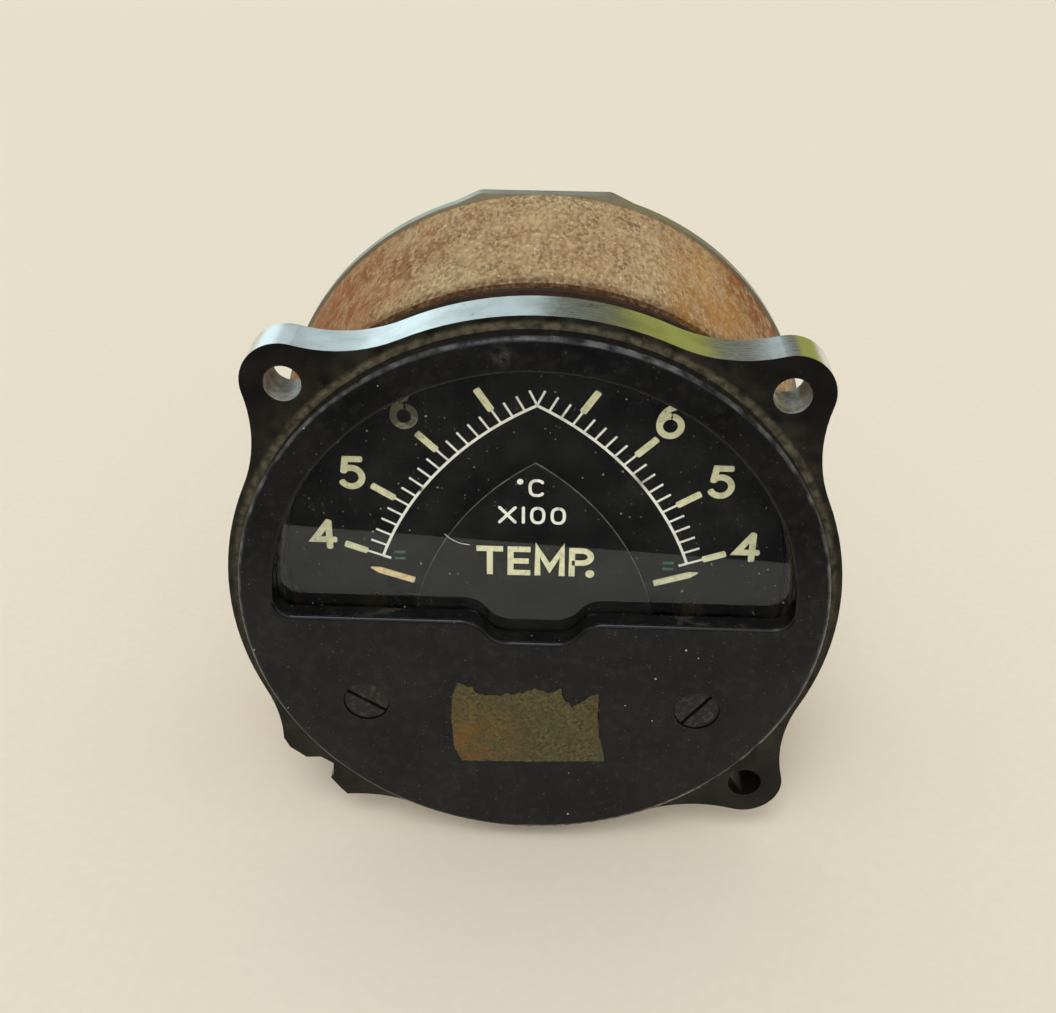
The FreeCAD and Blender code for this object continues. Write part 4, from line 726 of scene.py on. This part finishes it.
def grown(tree, inputs, name):
    """The plain mesh that a tree makes from its named inputs."""
    seed = bpy.data.objects.new(name, bpy.data.meshes.new(name + "_seed"))
    bpy.context.collection.objects.link(seed)
    modifier = seed.modifiers.new("pattern", "NODES")
    modifier.node_group = tree
    for item in tree.interface.items_tree:
        if item.in_out == "INPUT":
            modifier[item.identifier] = inputs[item.name]
    evaluated = seed.evaluated_get(bpy.context.evaluated_depsgraph_get())
    mesh = bpy.data.meshes.new_from_object(evaluated)
    mesh.name = name
    bpy.data.objects.remove(seed)
    return mesh


def marks_tree():
    """Marks along an arc about a pivot: copies of a bar, laid outwards from the arc."""
    tree, wanted = pattern("marks_on_an_arc", {
        "Bar": "NodeSocketObject", "Material": "NodeSocketMaterial", "Count": "NodeSocketInt",
        "Pivot": "NodeSocketVector", "Radius": "NodeSocketFloat", "First angle": "NodeSocketFloat",
        "Step angle": "NodeSocketFloat", "Every": "NodeSocketInt", "Numbered": "NodeSocketBool",
    })
    line = add(tree, "GeometryNodeMeshLine", {"Count": wanted["Count"]})
    index = add(tree, "GeometryNodeInputIndex")
    turn = add(tree, "ShaderNodeMath", {0: index, 1: wanted["Step angle"], 2: wanted["First angle"]},
               operation="MULTIPLY_ADD")
    across = add(tree, "ShaderNodeMath", {0: turn}, operation="COSINE")
    up = add(tree, "ShaderNodeMath", {0: turn}, operation="SINE")
    outwards = add(tree, "ShaderNodeCombineXYZ", {"X": across, "Z": up})
    spot = add(tree, "ShaderNodeVectorMath", {0: outwards, 1: wanted["Radius"], 2: wanted["Pivot"]},
               operation="MULTIPLY_ADD")
    spread = add(tree, "GeometryNodeSetPosition", {"Geometry": line, "Position": spot})
    back = add(tree, "ShaderNodeMath", {0: turn, 1: -1.0}, operation="MULTIPLY")
    spin = add(tree, "ShaderNodeCombineXYZ", {"Y": back})
    rest = add(tree, "ShaderNodeMath", {0: index, 1: wanted["Every"]}, operation="MODULO")
    numbered = add(tree, "ShaderNodeMath", {0: rest, 1: 0.0, 2: 0.5}, operation="COMPARE")
    chosen = add(tree, "ShaderNodeMath", {0: numbered, 1: wanted["Numbered"], 2: 0.1},
                 operation="COMPARE")
    bar = add(tree, "GeometryNodeObjectInfo", {"Object": wanted["Bar"]})
    copies = add(tree, "GeometryNodeInstanceOnPoints", {
        "Points": spread, "Instance": bar.outputs["Geometry"], "Rotation": spin,
        "Selection": chosen})
    return end_pattern(tree, wanted, copies)


def thread_tree():
    """A thread on each stud: one rib that winds along +Y from each point of a mesh."""
    tree, wanted = pattern("threads_on_studs", {
        "Starts": "NodeSocketObject", "Material": "NodeSocketMaterial", "Turns": "NodeSocketFloat",
        "Radius": "NodeSocketFloat", "Length": "NodeSocketFloat", "Rib": "NodeSocketFloat",
    })
    coil = add(tree, "GeometryNodeCurveSpiral", {
        "Resolution": 28, "Rotations": wanted["Turns"], "Start Radius": wanted["Radius"],
        "End Radius": wanted["Radius"], "Height": wanted["Length"]})
    section = add(tree, "GeometryNodeCurvePrimitiveCircle", {"Resolution": 5, "Radius": wanted["Rib"]})
    rib = add(tree, "GeometryNodeCurveToMesh", {"Curve": coil, "Profile Curve": section,
                                                "Fill Caps": True})
    starts = add(tree, "GeometryNodeObjectInfo", {"Object": wanted["Starts"]})
    copies = add(tree, "GeometryNodeInstanceOnPoints", {
        "Points": starts.outputs["Geometry"], "Instance": rib, "Rotation": (-math.pi / 2, 0, 0)})
    return end_pattern(tree, wanted, copies)


def pivot_of(scale):
    """x and z of one movement's pivot, from its staffs."""
    low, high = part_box(scale + "_staffs")
    return Vector(((low.x + high.x) / 2, (low.z + high.z) / 2))


class GAUGE_OT_metalwork(bpy.types.Operator):
    """Give every node of the case and the movements its finish"""
    bl_idname = "gauge.metalwork"
    bl_label = "Finishes of case and movements"

    def execute(self, context):
        for maker, names in FINISH_OF.items():
            for name in names:
                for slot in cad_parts[name].material_slots:
                    slot.material = finish(maker)
        plain = [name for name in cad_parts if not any(name in names for names in FINISH_OF.values())]
        if plain:
            raise RuntimeError("no finish for " + ", ".join(plain))
        return {"FINISHED"}


class GAUGE_OT_threads(bpy.types.Operator):
    """Wind a thread on the free end of each terminal stud"""
    bl_idname = "gauge.threads"
    bl_label = "Threads of the terminal studs"

    def execute(self, context):
        size = sizes()
        low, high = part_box("terminal_studs")
        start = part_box("terminal_nuts")[1].y + size.thread_clear
        reach_along = high.y - size.thread_clear - start
        ends = [vertex.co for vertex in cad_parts["terminal_studs"].data.vertices
                if vertex.co.y > high.y - 0.01 * MM]
        middle = (low + high) / 2
        starts = bmesh.new()
        for side in (-1, 1):
            for level in (-1, 1):
                corner = [end for end in ends if (end.x - middle.x) * side > 0 and (end.z - middle.z) * level > 0]
                starts.verts.new((sum(end.x for end in corner) / len(corner), start,
                                  sum(end.z for end in corner) / len(corner)))
        radius = max(end.x for end in ends) - max(vertex.co.x for vertex in starts.verts)
        marker = template("stud_starts", starts)
        mesh = grown(thread_tree(), {
            "Starts": marker, "Material": finish(turned_brass), "Turns": reach_along / size.thread_pitch,
            "Radius": radius, "Length": reach_along, "Rib": size.thread_depth}, "stud_threads")
        bpy.data.objects.remove(marker)
        settle("stud_threads", mesh, turned_brass, "gauge_case")
        return {"FINISHED"}


class GAUGE_OT_scales(bpy.types.Operator):
    """Print the two crossed scales: lines, marks, luminous blocks and numerals"""
    bl_idname = "gauge.scales"
    bl_label = "Scales on the dial"

    # Millimetres across from the dial's middle and up, for each scale's numerals and its index mark
    numerals = {"right_scale": (("4", 28.95, 5.6), ("5", 24.6, 15.7), ("6", 17.3, 24.5)),
                "left_scale": (("4", 28.95, 5.9), ("5", 24.6, 15.7), ("6", 17.3, 25.0))}
    index_marks = {"right_scale": (18.4, 2.2), "left_scale": (18.6, 2.8)}
    marks = 18

    def execute(self, context):
        size = sizes()
        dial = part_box("main_dial")[0].y
        ink = dial - size.ink_thickness
        paint = dial - size.paint_thickness
        tree = marks_tree()
        bars = {}
        for name, reach, width, thickness, end in (
                ("thin_mark", size.mark_reach, size.line_width * 0.8, size.ink_thickness, 0),
                ("luminous_block", size.block_reach, size.block_width, size.paint_thickness, 0.15 * MM),
                ("short_block", size.block_reach * 0.9, size.block_width, size.paint_thickness, 0.15 * MM)):
            bars[name] = bmesh.new()
            ribbon(bars[name], [(end, 0), (reach - end, 0)], width, 0, thickness, end)
            bars[name] = template(name, bars[name])
        # The scale on the right is read from the pivot on the left
        for scale, side in (("right_scale", 1), ("left_scale", -1)):
            pivot = pivot_of(scale)
            # The first block stands at the first mark, the others at every fifth
            for base, bar, maker, first, count, numbered, gap, front in (
                    ("marks", "thin_mark", printed_ink, 0, self.marks + 1, False, 0, ink),
                    ("numbered_marks", "thin_mark", printed_ink, 0, self.marks + 1, True, 0, ink),
                    ("blocks", "luminous_block", luminous_cream, 5, 11, True, size.block_start, paint),
                    ("first_block", "short_block", luminous_cream, 0, 1, True, size.block_start, paint)):
                first_angle = size.scale_start + size.scale_step * first
                mesh = grown(tree, {
                    "Bar": bars[bar], "Material": finish(maker), "Count": count,
                    "Pivot": (pivot.x, front, pivot.y), "Radius": size.scale_radius + gap, "Every": 5,
                    "Numbered": numbered, "First angle": first_angle if side > 0 else math.pi - first_angle,
                    "Step angle": side * size.scale_step}, f"{scale}_{base}")
                settle(f"{scale}_{base}", mesh, maker, "gauge_case")
            line = bmesh.new()
            turns = [size.scale_start + size.scale_step * step / 4 for step in range(self.marks * 4 + 1)]
            ribbon(line, [(pivot.x + side * size.scale_radius * math.cos(turn),
                           pivot.y + size.scale_radius * math.sin(turn)) for turn in turns],
                   size.line_width, ink - 0.003 * MM, size.ink_thickness)
            # The first mark runs on a little inside the line
            inner = size.scale_radius - 1.15 * MM
            ribbon(line, [(pivot.x + side * reach * math.cos(turns[0]), pivot.y + reach * math.sin(turns[0]))
                          for reach in (inner, size.scale_radius)], size.line_width, ink - 0.006 * MM,
                   size.ink_thickness)
            settle(f"{scale}_line", line, printed_ink, "gauge_case")
            signs = bmesh.new()
            for text, x, z in self.numerals[scale]:
                write(signs, text, (side * x * MM, z * MM), size.numeral_height, size.numeral_stroke, paint,
                      size.paint_thickness, 0, size.numeral_stroke * 0.3)
            settle(f"{scale}_numerals", signs, luminous_cream, "gauge_case")
            index = bmesh.new()
            x, z = self.index_marks[scale]
            for lift in (-0.5, 0.5):
                ribbon(index, [((side * x + end) * MM, (z + lift) * MM) for end in (-0.75, 0.75)], 0.4 * MM, ink,
                       size.ink_thickness)
            settle(f"{scale}_index", index, green_paint, "gauge_case")
        for bar in bars.values():
            bpy.data.objects.remove(bar)
        return {"FINISHED"}


class GAUGE_OT_legend(bpy.types.Operator):
    """Paint the unit and the legend on the centre plate"""
    bl_idname = "gauge.legend"
    bl_label = "Legend on the centre plate"

    def execute(self, context):
        size = sizes()
        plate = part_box("centre_plate")[0].y
        front = plate - size.ink_thickness
        unit = bmesh.new()
        write(unit, "C", (0.2 * MM, 15.6 * MM), size.unit_height, size.unit_stroke, front, size.ink_thickness, 0,
              size.unit_stroke / 2)
        slab(unit, spot_on((-2.0 * MM, 16.5 * MM), 0.42 * MM), front, size.ink_thickness)
        write(unit, "X100", (-0.4 * MM, 11.4 * MM), size.unit_height, size.unit_stroke, front, size.ink_thickness,
              1.1 * MM, size.unit_stroke / 2)
        settle("unit_print", unit, printed_ink, "gauge_case")
        front = plate - size.paint_thickness
        legend = bmesh.new()
        write(legend, "TEMP", (0.05 * MM, 4.15 * MM), size.legend_height, size.legend_stroke, front,
              size.paint_thickness, 1.35 * MM, 0)
        slab(legend, spot_on((7.6 * MM, 2.35 * MM), 0.6 * MM), front, size.paint_thickness)
        settle("legend_paint", legend, luminous_cream, "gauge_case")
        return {"FINISHED"}


class GAUGE_OT_pointer_tips(bpy.types.Operator):
    """Paint the ends of the two pointers"""
    bl_idname = "gauge.pointer_tips"
    bl_label = "Pointer tips"

    def execute(self, context):
        size = sizes()
        for scale, maker in (("left_scale", luminous_peach), ("right_scale", luminous_cream)):
            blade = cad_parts[scale + "_pointer"].data.vertices
            pivot = pivot_of(scale)
            tip = max((Vector((vertex.co.x, vertex.co.z)) - pivot for vertex in blade),
                      key=lambda reach: reach.length)
            out = tip.normalized()
            across = Vector((-out.y, out.x))
            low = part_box(scale + "_pointer")[0]
            half = size.tip_width / 2
            shoulder = tip.length - 1.3 * MM
            outline = [pivot + out * reach + across * off for reach, off in (
                (size.tip_start, -half), (shoulder, -half), (tip.length, 0), (shoulder, half),
                (size.tip_start, half))]
            shape = bmesh.new()
            slab(shape, outline, low.y - size.paint_thickness, size.paint_thickness + 0.2 * MM)
            settle(f"{scale}_pointer_tip", shape, maker, scale + "_movement")
        return {"FINISHED"}


class GAUGE_OT_label(bpy.types.Operator):
    """Stick what is left of the torn label on the cover, and a fibre on the window"""
    bl_idname = "gauge.label"
    bl_label = "Torn label and fibre"

    # Corners in millimetres, from the top left round; the first of them are torn, the last ones cut
    corners = [(-11.1, -15.3), (-10.6, -13.5), (-10.1, -12.4), (-8.9, -13.0), (-7.6, -14.3), (-5.9, -14.6),
               (-3.5, -14.3), (-0.2, -13.6), (0.4, -13.3), (2.5, -13.9), (4.0, -13.0), (4.5, -14.9), (5.7, -16.1),
               (7.2, -15.2), (8.5, -13.9), (9.4, -13.8), (9.5, -18.8), (9.7, -21.5), (10.3, -23.7), (10.6, -25.9),
               (0.0, -26.4), (-9.8, -26.6), (-10.9, -24.1), (-11.2, -19.6)]
    torn = 16
    fibre = [(-11.8, 9.9), (-11.3, 9.4), (-10.8, 9.0), (-9.8, 8.5), (-8.5, 8.3)]

    def execute(self, context):
        random.seed(7)
        size = sizes()
        outline = []
        for number, corner in enumerate(self.corners):
            after = self.corners[(number + 1) % len(self.corners)]
            steps = max(2, int(math.dist(corner, after) / 0.3))
            for step in range(steps):
                x = corner[0] + (after[0] - corner[0]) * step / steps
                z = corner[1] + (after[1] - corner[1]) * step / steps
                rough = 1.0 if number < self.torn else 0.3
                push = (noise.noise(Vector((x * 1.3, z * 1.3, 3.0))) * 0.5 + random.uniform(-0.09, 0.09)) * rough
                outline.append(((x + push * 0.6) * MM, (z + push) * MM))
        shape = bmesh.new()
        slab(shape, outline, COVER_FACE - size.label_thickness, size.label_thickness + 0.02 * MM)
        settle("label_remains", shape, torn_label_paper, "gauge_case")
        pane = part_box("window_glass")[0].y
        fibre = bmesh.new()
        ribbon(fibre, [(x * MM, z * MM) for x, z in self.fibre], 0.045 * MM, pane - 0.06 * MM, 0.05 * MM)
        settle("fibre_on_glass", fibre, printed_ink, "gauge_case")
        return {"FINISHED"}


class GAUGE_OT_studio(bpy.types.Operator):
    """Set the pale floor, the soft light and the camera"""
    bl_idname = "gauge.studio"
    bl_label = "Studio"

    # The dark card: how far in front its near edge lies at the middle, its slant, and its height off the floor
    card_edge, card_slant, card_lift = -78.7 * MM, 0.0915, 0.4 * MM
    # Light from each way, its colour, and the cosines where it starts and is full: window on the left, wall,
    # green on the right, dark room behind, and two lamps in front
    lights = (((-0.36, 0.92, 0.19), (0.98, 1.20, 1.22, 1.0), 0.95, 0.985),
              ((-0.10, 0.93, 0.36), (0.60, 0.72, 0.73, 1.0), 0.97, 0.992),
              ((0.33, 0.92, 0.20), (0.34, 0.34, 0.07, 1.0), 0.93, 0.975),
              ((0.12, 0.93, 0.36), (0.08, 0.09, 0.06, 1.0), 0.985, 0.996),
              ((0.1, -0.95, 0.3), (1.75, 1.7, 1.65, 1.0), 0.75, 0.95),
              ((-0.1, -0.5, 0.86), (6.0, 6.0, 5.9, 1.0), 0.955, 0.99))
    # The camera's place in metres, its turn, downward pitch and roll in degrees, and its lens on a 36 mm sensor
    camera_at = (0.003068, -0.146334, 0.101968)
    camera_turn = (-1.534, 30.795, 0.737)
    lens_mm, sensor_mm = 44.886, 36.0

    def set_floor(self, context):
        """A pale floor; beyond a slanting edge the window mirrors a dark card that only reflections see."""
        level = CAD_BOX[0].z
        far = sizes().floor_half
        card = level + self.card_lift
        edge = [(x, self.card_edge + self.card_slant * x, card) for x in (-far, far)]
        paper = Skin("pale_floor_paper")
        grain = paper.layers("#E8E0CD", (colours().floor, paper.patches(1.5)))
        board = Skin("dark_card")
        mottle = board.layers("#575757", ("#5B5B5B", board.patches(9.0)))
        stage = {}
        for name, corners, material in (
                ("floor", [(-far, -far, level), (far, -far, level), (far, far, level), (-far, far, level)],
                 paper.done(grain, Roughness=0.9, Specular_IOR_Level=0.1)),
                ("dark_card", [(-far, -far, card), (far, -far, card), edge[1], edge[0]],
                 board.done(mottle, Roughness=1.0, Specular_IOR_Level=0.0))):
            mesh = bpy.data.meshes.new(name)
            mesh.from_pydata(corners, [], [(0, 1, 2, 3)])
            mesh.materials.append(material)
            stage[name] = bpy.data.objects.new(name, mesh)
            context.collection.objects.link(stage[name])
        for kind in ("camera", "diffuse", "shadow", "transmission"):
            setattr(stage["dark_card"], "visible_" + kind, False)

    def set_light(self, context):
        """Soft light from everywhere, brighter from the windows and darker from the room behind."""
        world = bpy.data.worlds.new("studio_air")
        context.scene.world = world
        world.use_nodes = True
        tree = world.node_tree
        tree.nodes.clear()
        way = add(tree, "ShaderNodeTexCoord").outputs["Generated"]
        sky = (0.65, 0.65, 0.66, 1.0)
        for toward, tone, low, high in self.lights:
            lean = add(tree, "ShaderNodeVectorMath", {0: way, 1: Vector(toward).normalized()},
                       operation="DOT_PRODUCT")
            share = add(tree, "ShaderNodeMapRange", {"Value": lean.outputs["Value"], "From Min": low,
                                                     "From Max": high}, interpolation_type="SMOOTHSTEP")
            sky = add(tree, "ShaderNodeMix", {0: share, 6: sky, 7: tone}, data_type="RGBA").outputs[2]
        lit = add(tree, "ShaderNodeBackground", {"Color": sky})
        seen = add(tree, "ShaderNodeBackground", {"Color": colours().floor})
        path = add(tree, "ShaderNodeLightPath")
        air = add(tree, "ShaderNodeMixShader", {0: path.outputs["Is Camera Ray"], 1: lit,
                                                2: seen})
        add(tree, "ShaderNodeOutputWorld", {"Surface": air})
        context.scene.view_settings.view_transform = "Standard"

    def set_camera(self, context):
        yaw, pitch, roll = (math.radians(value) for value in self.camera_turn)
        ahead = Vector((math.sin(yaw) * math.cos(pitch), math.cos(yaw) * math.cos(pitch), -math.sin(pitch)))
        level = Vector((math.cos(yaw), -math.sin(yaw), 0))
        over = level.cross(ahead)
        right = level * math.cos(roll) + over * math.sin(roll)
        up = over * math.cos(roll) - level * math.sin(roll)
        camera = bpy.data.cameras.new("camera")
        camera.sensor_width = self.sensor_mm
        camera.lens = self.lens_mm
        camera.clip_start = 0.01
        holder = bpy.data.objects.new("camera", camera)
        turned = Matrix((right, up, -ahead)).transposed().to_4x4()
        holder.matrix_world = Matrix.Translation(self.camera_at) @ turned
        context.collection.objects.link(holder)
        context.scene.camera = holder

    def execute(self, context):
        self.set_floor(context)
        self.set_light(context)
        self.set_camera(context)
        return {"FINISHED"}


class GAUGE_PT_pieces(bpy.types.Panel):
    """The gauge's pieces, sizes and colours"""
    bl_idname = "GAUGE_PT_pieces"
    bl_label = "Exhaust temperature gauge"
    bl_space_type = "VIEW_3D"
    bl_region_type = "UI"
    bl_category = "Gauge"

    def draw(self, context):
        for operator in OPERATORS:
            self.layout.operator(operator.bl_idname)
        for group in (context.scene.gauge_sizes, context.scene.gauge_colours):
            box = self.layout.box()
            for name in group.__annotations__:
                box.prop(group, name)


OPERATORS = (GAUGE_OT_metalwork, GAUGE_OT_threads, GAUGE_OT_scales, GAUGE_OT_legend, GAUGE_OT_pointer_tips,
             GAUGE_OT_label, GAUGE_OT_studio)
CLASSES = (GaugeSizes, GaugeColours) + OPERATORS + (GAUGE_PT_pieces,)


def register():
    for entry in CLASSES:
        bpy.utils.register_class(entry)
    bpy.types.Scene.gauge_sizes = bpy.props.PointerProperty(type=GaugeSizes)
    bpy.types.Scene.gauge_colours = bpy.props.PointerProperty(type=GaugeColours)


def unregister():
    del bpy.types.Scene.gauge_colours
    del bpy.types.Scene.gauge_sizes
    for entry in reversed(CLASSES):
        bpy.utils.unregister_class(entry)


def main():
    register()
    bpy.ops.gauge.metalwork()
    bpy.ops.gauge.threads()
    bpy.ops.gauge.scales()
    bpy.ops.gauge.legend()
    bpy.ops.gauge.pointer_tips()
    bpy.ops.gauge.label()
    bpy.ops.gauge.studio()


if __name__ == "__main__":
    main()
